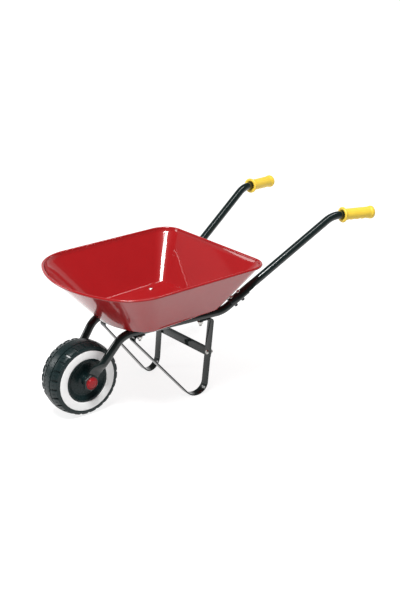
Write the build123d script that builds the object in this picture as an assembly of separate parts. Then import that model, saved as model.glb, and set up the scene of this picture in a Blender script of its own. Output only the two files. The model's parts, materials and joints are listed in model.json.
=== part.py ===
from build123d import *
import math
import os

# A child's steel wheelbarrow: pressed tray, two bent tube frames, strip legs and one moulded wheel.
# +X points to the wheel, +Y is the left side and +Z is up. Lengths are millimetres.
# Pieces are drawn with x = 0 at the axle and z = 0 on the ground. At the end the whole barrow
# is slid along X, so that the origin is under the middle of its overall box.

# wheel
wheel_diameter = 170.0
tyre_half_width = 32.2
tyre_shoulder_half_width = 24.0
tyre_shoulder_drop = 4.0
tyre_bore_radius = 50.0
tread_groove_width = 3.0
tread_groove_depth = 2.2
tread_groove_spacing = 11.0
whitewall_outer_radius = 70.2
whitewall_inner_radius = 51.2
whitewall_depth = 2.0
sidewall_face = 31.8
hub_rim_thickness = 4.0
hub_lip_face = 30.5
hub_disc_radius = 36.0
hub_disc_face = 21.0
hub_disc_thickness = 3.0
hub_boss_radius = 12.0
hub_boss_face = 33.5

# axle
axle_diameter = 10.0
axle_clearance = 0.08
bush_wall = 2.5
bush_length = 18.0
bush_flange_radius = 10.5
bush_flange_thickness = 1.5
end_float = 0.4
spacer_thickness = 2.0
spacer_radius = 10.0
hex_cover_across_flats = 33.0
hex_cover_depth = 8.0
hex_cover_chamfer = 1.6
axle_nut_across_flats = 17.0
axle_nut_thickness = 6.0
axle_end_past_nut = 1.0
cap_radius = 14.2
cap_rim_height = 1.4
cap_dome_height = 3.4
cap_wall = 1.6

# side frames: each frame and its handle lie in one upright plane, which the splay turns outwards
frame_plane_at_axle = 43.6
frame_splay = 0.191
tube_diameter = 19.0
tube_wall = 1.5
front_bend_x = -77.0
front_bend_height = 183.8
rear_bend_x = -321.2
rear_bend_height = 197.7
front_bend_radius = 50.0
rear_bend_radius = 60.0
frame_tube_past_bend = 75.0
fork_tab_width = 28.0
fork_tab_start = 22.0
fork_flattened_length = 30.0

# handles
handle_bend_x = -606.0
handle_bend_height = 386.2
handle_bend_radius = 60.0
grip_end_x = -719.0
grip_end_height = 381.2
channel_start = 25.0
channel_end = 84.0
channel_clearance = 0.05
channel_taper_length = 20.0
handle_bolt_places = [35.0, 56.0]
grip_length = 88.0
grip_radius = 14.0
grip_flange_radius = 18.5
grip_flange_thickness = 5.0
grip_end_radius = 15.5
grip_end_wall = 3.0
grip_end_bulge_length = 14.0

# legs and brace
leg_inset = 5.0
leg_strip_width = 20.0
leg_strip_thickness = 3.0
leg_foot_x = -276.7
leg_foot_bend_radius = 29.0
leg_front_top_x = -94.6
leg_rear_top_x = -296.6
leg_top_bend_radius = 8.0
leg_tab_length = 34.0
brace_height = 99.5
brace_strip_width = 22.0
brace_strip_thickness = 3.0
brace_end_margin = 2.0
brace_corner_radius = 3.0

# tray
sheet_thickness = 1.2
floor_front_x = -71.6
floor_rear_x = -313.5
floor_half_width = 113.0
floor_bow_radius = 170.0
floor_front_corner_radius = 50.0
floor_rear_corner_radius = 24.0
floor_edge_radius = 14.0
rim_front_x = 39.8
rim_rear_x = -387.1
rim_front_height = 306.0
rim_rear_height = 317.5
rim_half_width = 187.5
rim_bow_radius = 275.0
rim_front_corner_radius = 102.0
rim_rear_corner_radius = 45.0
rim_bead_radius = 3.0
wall_inside_bead = 1.0
bolt_seat_radius = 9.0
bolt_seat_depth = 0.3

# fasteners
tray_bolt_xs = [-116.4, -265.1]
tray_bolt_diameter = 6.0
tray_bolt_head_radius = 5.4
tray_bolt_head_height = 3.0
tray_bolt_past_nut = 5.0
handle_bolt_diameter = 5.0
handle_bolt_head_radius = 5.0
handle_bolt_head_height = 3.0
brace_bolt_diameter = 6.0
brace_bolt_head_radius = 5.4
brace_bolt_head_height = 3.0
brace_bolt_past_nut = 4.0
washer_radius = 7.0
washer_thickness = 1.2
nut_across_flats = 10.0
nut_thickness = 5.0
handle_nut_across_flats = 8.0
handle_nut_thickness = 4.0
hole_clearance = 0.2

# worked out from the sizes above
axle_height = wheel_diameter / 2
tube_radius = tube_diameter / 2
bolt_reach = 60.0
foot_search_steps = 20
splay_angle = math.atan(frame_splay)
side_plane = Plane(
    origin=(0, frame_plane_at_axle, 0),
    x_dir=(-math.cos(splay_angle), math.sin(splay_angle), 0),
    z_dir=(math.sin(splay_angle), math.cos(splay_angle), 0),
)
bush_face = hub_boss_face + bush_flange_thickness
spacer_inner_face = bush_face + end_float
tab_inner_face = spacer_inner_face + spacer_thickness
tab_outer_face = tab_inner_face + 2 * tube_wall
cover_face = tab_outer_face + hex_cover_depth
axle_half_length = tab_outer_face + axle_nut_thickness + axle_end_past_nut
hub_rim_radius = tyre_bore_radius - hub_rim_thickness


def reach(x):
    """How far back along the side plane the place with this x lies."""
    return -x / math.cos(splay_angle)


def rail_height(x):
    """Height of the frame tube's axis between its two bends."""
    share = (front_bend_x - x) / (front_bend_x - rear_bend_x)
    return front_bend_height + share * (rear_bend_height - front_bend_height)


def rail_point(x):
    """A point on the left frame tube's axis between its two bends."""
    return Vector(x, frame_plane_at_axle - frame_splay * x, rail_height(x))


rail_tilt = math.atan2(rear_bend_height - front_bend_height, front_bend_x - rear_bend_x)
floor_normal = Vector(math.sin(rail_tilt), 0, math.cos(rail_tilt))
rail_slope = math.atan2(
    rear_bend_height - front_bend_height, reach(rear_bend_x) - reach(front_bend_x)
)
rear_bend = Vector(reach(rear_bend_x), rear_bend_height)
handle_bend = Vector(reach(handle_bend_x), handle_bend_height)
grip_end = Vector(reach(grip_end_x), grip_end_height)
channel_inner_radius = tube_radius + channel_clearance
channel_outer_radius = channel_inner_radius + 2 * tube_wall
handle_offset = channel_outer_radius - tube_radius
handle_run = handle_bend - rear_bend
handle_slope = math.atan2(handle_run.Y, handle_run.X) - math.asin(handle_offset / handle_run.length)
handle_direction = Vector(math.cos(handle_slope), math.sin(handle_slope))
handle_normal = Vector(-handle_direction.Y, handle_direction.X)
grip_direction = (grip_end - handle_bend).normalized()


def in_side_plane(point, offset=0.0):
    """Turn side-plane coordinates into a point of the barrow."""
    return side_plane.from_local_coords(Vector(point.X, point.Y, offset))


def direction_in_side_plane(direction):
    """Turn a side-plane direction into a direction of the barrow."""
    return in_side_plane(direction) - in_side_plane(Vector(0, 0))


def along_handle(distance, height=0.0):
    """A side-plane point on the frame tube's rising end, counted from its rear bend."""
    return rear_bend + handle_direction * distance + handle_normal * height


def rod(start, direction, radius, length):
    """A round bar from a point along a direction."""
    return Plane(origin=start, z_dir=direction) * extrude(Circle(radius), length)


def ring(start, direction, outer, inner, length):
    """A washer or bush from a point along a direction."""
    face = Circle(outer) - Circle(inner)
    return Plane(origin=start, z_dir=direction) * extrude(face, length)


def hexagon(across_flats):
    """A hexagon by its width across flats."""
    return RegularPolygon(across_flats / 2, 6, major_radius=False)


def nut(start, direction, across_flats, bore_radius, thickness):
    """A hexagon nut with its bearing face at a point."""
    face = hexagon(across_flats) - Circle(bore_radius)
    return Plane(origin=start, z_dir=direction) * extrude(face, thickness)


def domed_disc(radius, height):
    """A low dome standing on the ground plane."""
    ball_radius = (radius**2 + height**2) / (2 * height)
    ball = Pos(0, 0, height - ball_radius) * Sphere(ball_radius)
    return ball & Pos(0, 0, height / 2) * Cylinder(radius, height)


def domed_bolt(seat, direction, head_radius, head_height, radius, length):
    """A bolt whose domed head sits at a point and whose shank runs the other way."""
    shank = Pos(0, 0, -length / 2) * Cylinder(radius, length)
    return Plane(origin=seat, z_dir=direction) * (domed_disc(head_radius, head_height) + shank)


def about_axle(profile):
    """Spin a closed outline of (radius, y) points about the axle."""
    outline = make_face(Polyline(profile, close=True))
    return Pos(0, 0, axle_height) * revolve(outline, Axis.Y)


def other_side(part):
    """The same piece for the right-hand side."""
    return mirror(part, about=Plane.XZ)


def tyre():
    """The tyre, with its tread grooves and a seat in each sidewall for the white ring."""
    outer = wheel_diameter / 2
    side_points = [
        (tyre_bore_radius, 0),
        (tyre_bore_radius, sidewall_face - whitewall_depth),
        (whitewall_outer_radius, sidewall_face - whitewall_depth),
        (whitewall_outer_radius, sidewall_face),
        (whitewall_outer_radius + 2, tyre_half_width),
    ]
    shoulder_radius = outer - tyre_shoulder_drop
    shoulder_middle = (
        (whitewall_outer_radius + 2 + 2 * shoulder_radius) / 3,
        (2 * tyre_half_width + tyre_shoulder_half_width) / 3,
    )
    with BuildSketch() as section:
        with BuildLine():
            side = Polyline(side_points)
            shoulder_end = (shoulder_radius, tyre_shoulder_half_width)
            shoulder = ThreePointArc(side @ 1, shoulder_middle, shoulder_end)
            crown_middle = (outer - tyre_shoulder_drop / 4, tyre_shoulder_half_width / 2)
            crown = ThreePointArc(shoulder @ 1, crown_middle, (outer, 0))
            Line(crown @ 1, side @ 0)
        make_face()
        mirror(about=Plane.XZ)
        for place in (-tread_groove_spacing, 0, tread_groove_spacing):
            with Locations((outer, place)):
                Rectangle(2 * tread_groove_depth, tread_groove_width, mode=Mode.SUBTRACT)
    return Pos(0, 0, axle_height) * revolve(section.sketch, Axis.Y)


def whitewall():
    """The left white sidewall ring, gently crowned."""
    back = sidewall_face - whitewall_depth
    with BuildSketch() as section:
        with BuildLine():
            base = Polyline(
                (whitewall_inner_radius, sidewall_face - 0.6),
                (whitewall_inner_radius, back),
                (whitewall_outer_radius, back),
                (whitewall_outer_radius, sidewall_face - 0.3),
            )
            middle = (whitewall_inner_radius + whitewall_outer_radius) / 2
            ThreePointArc(base @ 1, (middle, sidewall_face + 0.4), base @ 0)
        make_face()
    return Pos(0, 0, axle_height) * revolve(section.sketch, Axis.Y)


def hub_half():
    """The left half of the moulded hub: rim, cone, disc and boss round the bush."""
    bush_seat = axle_diameter / 2 + axle_clearance + bush_wall
    cone_foot = hub_disc_radius
    profile = [
        (hub_rim_radius, 0),
        (tyre_bore_radius, 0),
        (tyre_bore_radius, hub_lip_face),
        (hub_rim_radius + 1.5, hub_lip_face),
        (hub_rim_radius - 1.5, hub_lip_face - 3),
        (cone_foot, hub_disc_face),
        (hub_boss_radius + 4, hub_disc_face + 1.5),
        (hub_boss_radius, hub_disc_face + 3),
        (hub_boss_radius, hub_boss_face),
        (bush_seat, hub_boss_face),
        (bush_seat, 0),
        (hub_boss_radius, 0),
        (hub_boss_radius, hub_disc_face - hub_disc_thickness),
        (cone_foot + 1.5, hub_disc_face - hub_disc_thickness),
        (hub_rim_radius, hub_lip_face - 3 - 2 * hub_disc_thickness),
    ]
    return about_axle(profile)


def hub_bush():
    """The left plain bush, pressed into the hub boss and turning on the axle."""
    bore = axle_diameter / 2 + axle_clearance
    profile = [
        (bore, bush_face - bush_length),
        (bore + bush_wall, bush_face - bush_length),
        (bore + bush_wall, hub_boss_face),
        (bush_flange_radius, hub_boss_face),
        (bush_flange_radius, bush_face),
        (bore, bush_face),
    ]
    return about_axle(profile)


def axle_place(y):
    """A point on the axle."""
    return Vector(0, y, axle_height)


def axle_rod():
    """The axle, from end to end."""
    return rod(axle_place(-axle_half_length), (0, 1, 0), axle_diameter / 2, 2 * axle_half_length)


def fork_spacer():
    """The washer between the left bush and the fork tab."""
    return ring(
        axle_place(spacer_inner_face), (0, 1, 0), spacer_radius, axle_diameter / 2, spacer_thickness
    )


def axle_nut():
    """The left axle nut."""
    return nut(
        axle_place(tab_outer_face), (0, 1, 0), axle_nut_across_flats, axle_diameter / 2, axle_nut_thickness
    )


def hex_cover():
    """The left plastic hexagon cover, bored to go over the axle nut."""
    bore = axle_nut_across_flats / 2 / math.cos(math.pi / 6) + hole_clearance
    body = extrude(hexagon(hex_cover_across_flats), hex_cover_depth)
    body = chamfer(body.faces().sort_by(Axis.Z)[-1].edges(), hex_cover_chamfer)
    body = body - Pos(0, 0, hex_cover_depth / 2) * Cylinder(bore, hex_cover_depth)
    place = Plane(origin=axle_place(tab_outer_face), x_dir=(0, 0, 1), z_dir=(0, 1, 0))
    return place * body


def hub_cap():
    """The left domed cap, whose skirt clips into the hexagon cover."""
    bore = axle_nut_across_flats / 2 / math.cos(math.pi / 6) + hole_clearance
    skirt_depth = hex_cover_depth - axle_nut_thickness - hole_clearance
    rim = Pos(0, 0, cap_rim_height / 2) * Cylinder(cap_radius, cap_rim_height)
    dome = Pos(0, 0, cap_rim_height) * domed_disc(cap_radius, cap_dome_height)
    skirt = Pos(0, 0, -skirt_depth / 2) * Cylinder(bore, skirt_depth)
    hollow = Pos(0, 0, (cap_rim_height - skirt_depth) / 2) * Cylinder(
        bore - cap_wall, cap_rim_height + skirt_depth
    )
    place = Plane(origin=axle_place(cover_face), z_dir=(0, 1, 0))
    return place * (rim + dome + skirt - hollow)


def fork_line():
    """Side-plane points at the axle and along the fork's straight, from the axle up to the bend."""
    low = Vector(0, axle_height)
    high = Vector(reach(front_bend_x), front_bend_height)
    along = (high - low).normalized()
    return low, high, along


def fork_tab():
    """The fork's flattened end, with its round nose about the axle."""
    low, high, along = fork_line()
    lean = math.atan2(high.Y - low.Y, -front_bend_x)
    thickness = tab_outer_face - tab_inner_face
    plan = Circle(fork_tab_width / 2) + Pos(fork_tab_start / 2, 0) * Rectangle(fork_tab_start, fork_tab_width)
    tab = extrude(plan, thickness)
    place = Plane(
        origin=axle_place(tab_outer_face), x_dir=(-math.cos(lean), 0, math.sin(lean)), z_dir=(0, -1, 0)
    )
    return place * tab


def fork_taper():
    """The stretch where the round tube is pressed flat."""
    low, high, along = fork_line()
    lean = math.atan2(high.Y - low.Y, -front_bend_x)
    tab_along = Vector(-math.cos(lean), 0, math.sin(lean))
    thickness = tab_outer_face - tab_inner_face
    flat_place = Plane(
        origin=axle_place((tab_outer_face + tab_inner_face) / 2) + tab_along * fork_tab_start,
        x_dir=(0, 1, 0),
        z_dir=tab_along,
    )
    round_centre = low + along * (fork_tab_start + fork_flattened_length)
    round_place = Plane(
        origin=in_side_plane(round_centre),
        x_dir=side_plane.z_dir,
        z_dir=direction_in_side_plane(along),
    )
    flat_section = flat_place * RectangleRounded(thickness, fork_tab_width, thickness / 2 - 0.01)
    round_section = round_place * Circle(tube_radius)
    return loft([flat_section, round_section])


def frame_path():
    """The frame tube's centre line, from the end of its pressed stretch to its rear end."""
    low, high, along = fork_line()
    start = low + along * (fork_tab_start + fork_flattened_length)
    points = [start, high, rear_bend, along_handle(frame_tube_past_bend)]
    line = FilletPolyline(*[(p.X, p.Y) for p in points], radius=[front_bend_radius, rear_bend_radius])
    return side_plane * line


def tube_along(path, radius):
    """A solid round bar along a path."""
    section = Plane(origin=path @ 0, z_dir=path % 0) * Circle(radius)
    return sweep(section, path=path)


def frame_tube():
    """The left frame tube: fork, rail under the tray and the start of the handle."""
    path = frame_path()
    tube = tube_along(path, tube_radius) - tube_along(path, tube_radius - tube_wall)
    tube = tube + fork_taper() + fork_tab()
    tube = tube - rod(axle_place(tab_inner_face - 1), (0, 1, 0), axle_diameter / 2, fork_tab_width)
    for x in tray_bolt_xs:
        start = rail_point(x) - floor_normal * bolt_reach / 2
        tube = tube - rod(start, floor_normal, tray_bolt_diameter / 2 + hole_clearance, bolt_reach)
    for place in handle_bolt_places:
        tube = tube - handle_bolt_hole(place)
    return tube


def frame_plug():
    """The plastic plug in the left frame tube's rear end."""
    start = in_side_plane(along_handle(frame_tube_past_bend))
    outwards = direction_in_side_plane(handle_direction)
    plug = rod(start, outwards, tube_radius - 0.5, 1.5)
    return plug + rod(start, outwards * -1, tube_radius - tube_wall, 10)


def handle_bolt_hole(place):
    """The drilled hole for a handle bolt."""
    start = in_side_plane(along_handle(place, -bolt_reach / 2))
    across = direction_in_side_plane(handle_normal)
    return rod(start, across, handle_bolt_diameter / 2 + hole_clearance, bolt_reach)


def across_handle(point):
    """A plane square to the handle line at a side-plane point, with its y to the tray side."""
    along = direction_in_side_plane(handle_direction)
    sideways = direction_in_side_plane(handle_normal).cross(along)
    return Plane(origin=in_side_plane(point), x_dir=sideways, z_dir=along)


def channel_section(distance):
    """The outside of the crimped end's section: the half round on the tray side of the frame tube."""
    half = Pos(0, channel_outer_radius) * Rectangle(2 * channel_outer_radius, 2 * channel_outer_radius)
    return across_handle(along_handle(distance)) * (Circle(channel_outer_radius) & half)


def handle_path():
    """The round part of the handle's centre line."""
    start = along_handle(channel_end + channel_taper_length, handle_offset)
    end = grip_end - grip_direction * grip_end_wall
    line = FilletPolyline(*[(p.X, p.Y) for p in (start, handle_bend, end)], radius=[handle_bend_radius])
    return side_plane * line


def handle_tube():
    """The left handle tube, whose lower end is crimped over the frame tube."""
    path = handle_path()
    tube = tube_along(path, tube_radius) - tube_along(path, tube_radius - tube_wall)
    along = direction_in_side_plane(handle_direction)
    channel = extrude(channel_section(channel_start), channel_end - channel_start, dir=along)
    nest_start = in_side_plane(along_handle(channel_start))
    channel = channel - rod(nest_start, along, channel_inner_radius, channel_end - channel_start)
    round_section = across_handle(along_handle(channel_end + channel_taper_length, handle_offset))
    taper = loft([channel_section(channel_end), round_section * Circle(tube_radius)])
    tube = tube + taper + channel
    for place in handle_bolt_places:
        tube = tube - handle_bolt_hole(place)
    return tube


def grip():
    """The left plastic grip, closed at its outer end."""
    bulge_start = grip_length - grip_end_bulge_length
    profile = [
        (0, tube_radius),
        (0, grip_flange_radius - 1),
        (1, grip_flange_radius),
        (grip_flange_thickness - 1, grip_flange_radius),
        (grip_flange_thickness, grip_flange_radius - 1),
        (grip_flange_thickness + 2, grip_radius),
        (bulge_start, grip_radius),
        (bulge_start + 4, grip_end_radius),
        (grip_length - 3, grip_end_radius),
        (grip_length, grip_end_radius - 3),
        (grip_length, 0),
        (grip_length - grip_end_wall, 0),
        (grip_length - grip_end_wall, tube_radius),
    ]
    body = revolve(make_face(Polyline(profile, close=True)), Axis.X)
    start = grip_end - grip_direction * grip_length
    place = Plane(
        origin=in_side_plane(start), x_dir=direction_in_side_plane(grip_direction), z_dir=side_plane.z_dir
    )
    return place * body


def leg_foot(front_top, rear_top):
    """The corner where the leg's two straight runs would meet, set so that the bend stands on the ground."""
    foot = Vector(reach(leg_foot_x), 0)
    for _ in range(foot_search_steps):
        to_front = (front_top - foot).normalized()
        to_rear = (rear_top - foot).normalized()
        half_angle = math.radians(to_front.get_angle(to_rear) / 2)
        upwards = (to_front + to_rear).normalized()
        bend_centre_rise = upwards.Y * leg_foot_bend_radius / math.sin(half_angle)
        foot = Vector(foot.X, leg_foot_bend_radius + leg_strip_thickness / 2 - bend_centre_rise)
    return foot


def leg_corners():
    """Side-plane corners of the leg strip's middle line: front top, foot and rear top."""
    drop = (tube_radius + leg_strip_thickness / 2) / math.cos(rail_slope)
    front_top = Vector(reach(leg_front_top_x), rail_height(leg_front_top_x) - drop)
    rear_top = Vector(reach(leg_rear_top_x), rail_height(leg_rear_top_x) - drop)
    return front_top, leg_foot(front_top, rear_top), rear_top


def leg():
    """The left leg: one strip bent to a V, with both ends turned under the frame tube."""
    front_top, foot, rear_top = leg_corners()
    rail_way = (rear_top - front_top).normalized()
    tab_start = front_top + rail_way * leg_tab_length
    tab_end = rear_top - rail_way * leg_tab_length
    line = FilletPolyline(
        *[(p.X, p.Y) for p in (tab_start, front_top, foot, rear_top, tab_end)],
        radius=[leg_top_bend_radius, leg_foot_bend_radius, leg_top_bend_radius],
    )
    face = side_plane * trace(line, line_width=leg_strip_thickness)
    face = Pos(0, -leg_inset - leg_strip_width / 2, 0) * face
    strip = extrude(face, leg_strip_width, dir=(0, 1, 0))
    for x in tray_bolt_xs:
        start = rail_point(x) - floor_normal * bolt_reach / 2
        strip = strip - rod(start, floor_normal, tray_bolt_diameter / 2 + hole_clearance, bolt_reach)
    seat, outwards, thickness = brace_bolt_place()
    hole_start = seat + outwards * thickness
    return strip - rod(hole_start, outwards * -1, brace_bolt_diameter / 2 + hole_clearance, 3 * thickness)


def brace_bolt_place():
    """The left brace bolt's seat, the upright's normal there and the strip's depth along it."""
    front_top, foot, rear_top = leg_corners()
    rise = rear_top.Y - foot.Y
    back = (rear_top.X - foot.X) * math.cos(splay_angle)
    slant = math.hypot(back, rise)
    normal = Vector(rise / slant, 0, back / slant)
    thickness = leg_strip_thickness * math.cos(splay_angle) * (rear_top - foot).length / slant
    middle_x = leg_foot_x - back * (brace_height - foot.Y) / rise
    middle_y = frame_plane_at_axle - frame_splay * middle_x - leg_inset
    return Vector(middle_x, middle_y, brace_height) + normal * thickness / 2, normal, thickness


def cross_brace():
    """The strip that ties the two rear uprights together, on their rear faces."""
    seat, outwards, thickness = brace_bolt_place()
    rear_face = seat - outwards * thickness
    length = 2 * (seat.Y + leg_strip_width / 2 - brace_end_margin)
    place = Plane(origin=(rear_face.X, 0, rear_face.Z), x_dir=(0, 1, 0), z_dir=outwards * -1)
    outline = RectangleRounded(length, brace_strip_width, brace_corner_radius)
    strip = place * extrude(outline, brace_strip_thickness)
    for side in (1, -1):
        hole_start = Vector(seat.X, side * seat.Y, seat.Z)
        hole_length = 3 * (thickness + brace_strip_thickness)
        strip = strip - rod(hole_start, outwards * -1, brace_bolt_diameter / 2 + hole_clearance, hole_length)
    return strip


def tub_outline(front, rear, half_width, bow_radius, front_corner, rear_corner):
    """The tray's plan outline: straight back and sides, round corners and a bowed front."""
    bow_centre = front - bow_radius
    reach_y = half_width - front_corner
    corner_x = bow_centre + math.sqrt((bow_radius - front_corner) ** 2 - reach_y**2)
    bow_angle = math.degrees(math.atan2(reach_y, corner_x - bow_centre))
    corner_turn = 90 - bow_angle
    bow = CenterArc((bow_centre, 0), bow_radius, -bow_angle, 2 * bow_angle)
    left_front = CenterArc((corner_x, reach_y), front_corner, bow_angle, corner_turn)
    left_rear = CenterArc((rear + rear_corner, half_width - rear_corner), rear_corner, 90, 90)
    right_rear = CenterArc((rear + rear_corner, rear_corner - half_width), rear_corner, 180, 90)
    right_front = CenterArc((corner_x, -reach_y), front_corner, -90, corner_turn)
    left_side = Line(left_front @ 1, left_rear @ 0)
    back = Line(left_rear @ 1, right_rear @ 0)
    right_side = Line(right_rear @ 1, right_front @ 0)
    return Wire([bow, left_front, left_side, left_rear, back, right_rear, right_side, right_front])


def floor_plane(lift=0.0):
    """The plane of the tray floor's underside, or one parallel to it; its x counts from the front bend."""
    base = Vector(front_bend_x, 0, front_bend_height) + floor_normal * (tube_radius + lift)
    return Plane(origin=base, x_dir=(math.cos(rail_tilt), 0, -math.sin(rail_tilt)), z_dir=floor_normal)


def rim_plane():
    """The plane of the rim bead's centre line; its x counts from under the rim's front."""
    tilt = math.atan2(rim_rear_height - rim_front_height, rim_front_x - rim_rear_x)
    return Plane(
        origin=(rim_front_x, 0, rim_front_height),
        x_dir=(math.cos(tilt), 0, -math.sin(tilt)),
        z_dir=(math.sin(tilt), 0, math.cos(tilt)),
    )


def rim_outline(inset):
    """The rim's outline, moved inwards."""
    return rim_plane() * tub_outline(
        -inset,
        rim_rear_x - rim_front_x + inset,
        rim_half_width - inset,
        rim_bow_radius - inset,
        rim_front_corner_radius - inset,
        rim_rear_corner_radius - inset,
    )


def floor_outline(inset, lift):
    """The floor's outline before its edge is rounded, moved inwards and up."""
    return floor_plane(lift) * tub_outline(
        floor_front_x - front_bend_x - inset,
        floor_rear_x - front_bend_x + inset,
        floor_half_width - inset,
        floor_bow_radius - inset,
        floor_front_corner_radius - inset,
        floor_rear_corner_radius - inset,
    )


def tub_body(inset, lift, edge_radius, top_inset):
    """A solid tub shape with a rounded bottom edge."""
    bottom = make_face(floor_outline(inset, lift))
    top = make_face(rim_outline(top_inset))
    body = loft([bottom, top], ruled=True)
    bottom_face = body.faces().sort_by(Axis.Z)[0]
    return fillet(bottom_face.edges(), edge_radius)


def tray():
    """The pressed tray: floor, sloping walls and the rolled bead round its rim."""
    wall_rise = rim_rear_height - rear_bend_height - tube_radius
    wall_lean = math.atan2(rim_half_width - floor_half_width, wall_rise)
    side_inset = sheet_thickness / math.cos(wall_lean)
    outer = tub_body(0, 0, floor_edge_radius, wall_inside_bead)
    inner = tub_body(
        side_inset, sheet_thickness, floor_edge_radius - sheet_thickness, wall_inside_bead + side_inset
    )
    shell = outer - inner
    bead_line = rim_outline(0)
    bead = sweep(Plane(origin=bead_line @ 0, z_dir=bead_line % 0) * Circle(rim_bead_radius), path=bead_line)
    shell = shell + bead
    for x in tray_bolt_xs:
        for side in (1, -1):
            at = rail_point(x) + floor_normal * (tube_radius + sheet_thickness)
            at = Vector(at.X, side * at.Y, at.Z)
            hole_start = at - floor_normal * 5
            hole_radius = tray_bolt_diameter / 2 + hole_clearance
            shell = shell - rod(hole_start, floor_normal, hole_radius, 10)
            shell = shell - rod(at - floor_normal * bolt_seat_depth, floor_normal, bolt_seat_radius, 2)
    return shell


def tray_fasteners():
    """Bolts, washers and nuts that hold the tray and the leg tabs to the frame tubes."""
    bolts = []
    washers = []
    nuts = []
    radius = tray_bolt_diameter / 2
    down = floor_normal * -1
    for x in tray_bolt_xs:
        axis = rail_point(x)
        head_seat = axis + floor_normal * (tube_radius + sheet_thickness - bolt_seat_depth)
        washer_seat = axis + down * (tube_radius + leg_strip_thickness)
        nut_seat = washer_seat + down * washer_thickness
        length = (head_seat - nut_seat).length + nut_thickness + tray_bolt_past_nut
        bolts.append(
            domed_bolt(head_seat, floor_normal, tray_bolt_head_radius, tray_bolt_head_height, radius, length)
        )
        washers.append(ring(washer_seat, down, washer_radius, radius, washer_thickness))
        nuts.append(nut(nut_seat, down, nut_across_flats, radius, nut_thickness))
    return bolts, washers, nuts


def handle_fasteners():
    """Bolts and domed nuts that hold the handle tube to the frame tube."""
    bolts = []
    nuts = []
    radius = handle_bolt_diameter / 2
    up = direction_in_side_plane(handle_normal)
    down = up * -1
    for place in handle_bolt_places:
        head_seat = in_side_plane(along_handle(place, channel_outer_radius))
        nut_seat = in_side_plane(along_handle(place, -tube_radius))
        length = (head_seat - nut_seat).length + handle_nut_thickness
        bolts.append(
            domed_bolt(head_seat, up, handle_bolt_head_radius, handle_bolt_head_height, radius, length)
        )
        body = nut(nut_seat, down, handle_nut_across_flats, radius, handle_nut_thickness)
        dome = Plane(origin=nut_seat + down * handle_nut_thickness, z_dir=down) * domed_disc(
            handle_nut_across_flats / 2, handle_nut_thickness / 2
        )
        nuts.append(body + dome)
    return bolts, nuts


def brace_fasteners():
    """Bolts and nuts that hold the brace to the uprights."""
    seat, outwards, thickness = brace_bolt_place()
    radius = brace_bolt_diameter / 2
    back = outwards * -1
    nut_seat = seat + back * (thickness + brace_strip_thickness)
    length = (seat - nut_seat).length + nut_thickness + brace_bolt_past_nut
    bolt = domed_bolt(seat, outwards, brace_bolt_head_radius, brace_bolt_head_height, radius, length)
    return [bolt], [nut(nut_seat, back, nut_across_flats, radius, nut_thickness)]


def left_and_right(parts):
    """One group of separate solids: each piece and its mirror image."""
    solids = []
    for part in parts:
        solids.extend(part.solids())
        solids.extend(other_side(part).solids())
    return Compound(children=solids)


def build_nodes():
    """Every node of the barrow by name."""
    nodes = {"tray": tray(), "tyre": tyre(), "axle_rod": axle_rod(), "cross_brace": cross_brace()}
    mirrored = {
        "frame_tube": frame_tube,
        "frame_plug": frame_plug,
        "handle_tube": handle_tube,
        "grip": grip,
        "leg": leg,
        "hub_half": hub_half,
        "hub_bush": hub_bush,
        "whitewall": whitewall,
        "fork_spacer": fork_spacer,
        "axle_nut": axle_nut,
        "hex_cover": hex_cover,
        "hub_cap": hub_cap,
    }
    for name, make in mirrored.items():
        left = make()
        nodes[name + "_left"] = left
        nodes[name + "_right"] = other_side(left)
    tray_bolts, tray_washers, tray_nuts = tray_fasteners()
    handle_bolts, handle_nuts = handle_fasteners()
    brace_bolts, brace_nuts = brace_fasteners()
    nodes["tray_bolts"] = left_and_right(tray_bolts)
    nodes["tray_washers"] = left_and_right(tray_washers)
    nodes["tray_nuts"] = left_and_right(tray_nuts)
    nodes["handle_bolts"] = left_and_right(handle_bolts)
    nodes["handle_nuts"] = left_and_right(handle_nuts)
    nodes["brace_bolts"] = left_and_right(brace_bolts)
    nodes["brace_nuts"] = left_and_right(brace_nuts)
    return nodes


def main():
    """Build the nodes, slide them over the origin and write them."""
    nodes = build_nodes()
    boxes = [part.bounding_box() for part in nodes.values()]
    front = max(box.max.X for box in boxes)
    back = min(box.min.X for box in boxes)
    shift = -(front + back) / 2
    os.makedirs("parts", exist_ok=True)
    for name, part in nodes.items():
        export_step(Pos(shift, 0, 0) * part, "parts/" + name + ".step")
    print("shift along X", round(shift, 3), "overall length", round(front - back, 2))


main()
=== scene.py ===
import json
import math

import bmesh
import bpy
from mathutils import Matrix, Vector


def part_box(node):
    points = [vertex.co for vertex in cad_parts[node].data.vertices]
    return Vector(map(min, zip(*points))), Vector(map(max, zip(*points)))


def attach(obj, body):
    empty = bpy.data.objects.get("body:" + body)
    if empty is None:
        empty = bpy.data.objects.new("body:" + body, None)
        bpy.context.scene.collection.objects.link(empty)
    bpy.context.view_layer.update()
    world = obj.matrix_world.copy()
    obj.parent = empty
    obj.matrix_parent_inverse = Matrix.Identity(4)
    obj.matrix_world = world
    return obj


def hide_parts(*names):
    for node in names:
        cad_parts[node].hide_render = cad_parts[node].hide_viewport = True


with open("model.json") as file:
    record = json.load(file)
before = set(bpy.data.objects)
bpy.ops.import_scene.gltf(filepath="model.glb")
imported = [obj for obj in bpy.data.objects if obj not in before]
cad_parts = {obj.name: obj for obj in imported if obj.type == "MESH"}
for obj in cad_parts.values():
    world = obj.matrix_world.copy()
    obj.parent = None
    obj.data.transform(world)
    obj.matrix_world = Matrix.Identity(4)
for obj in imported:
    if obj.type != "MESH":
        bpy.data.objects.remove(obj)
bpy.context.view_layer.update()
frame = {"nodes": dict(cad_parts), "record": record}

# A child's steel wheelbarrow: enamelled tube frame, pressed tray and one moulded wheel.
# Sizes are millimetres and turn into metres where a mesh is made. +X points to the wheel.

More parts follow.
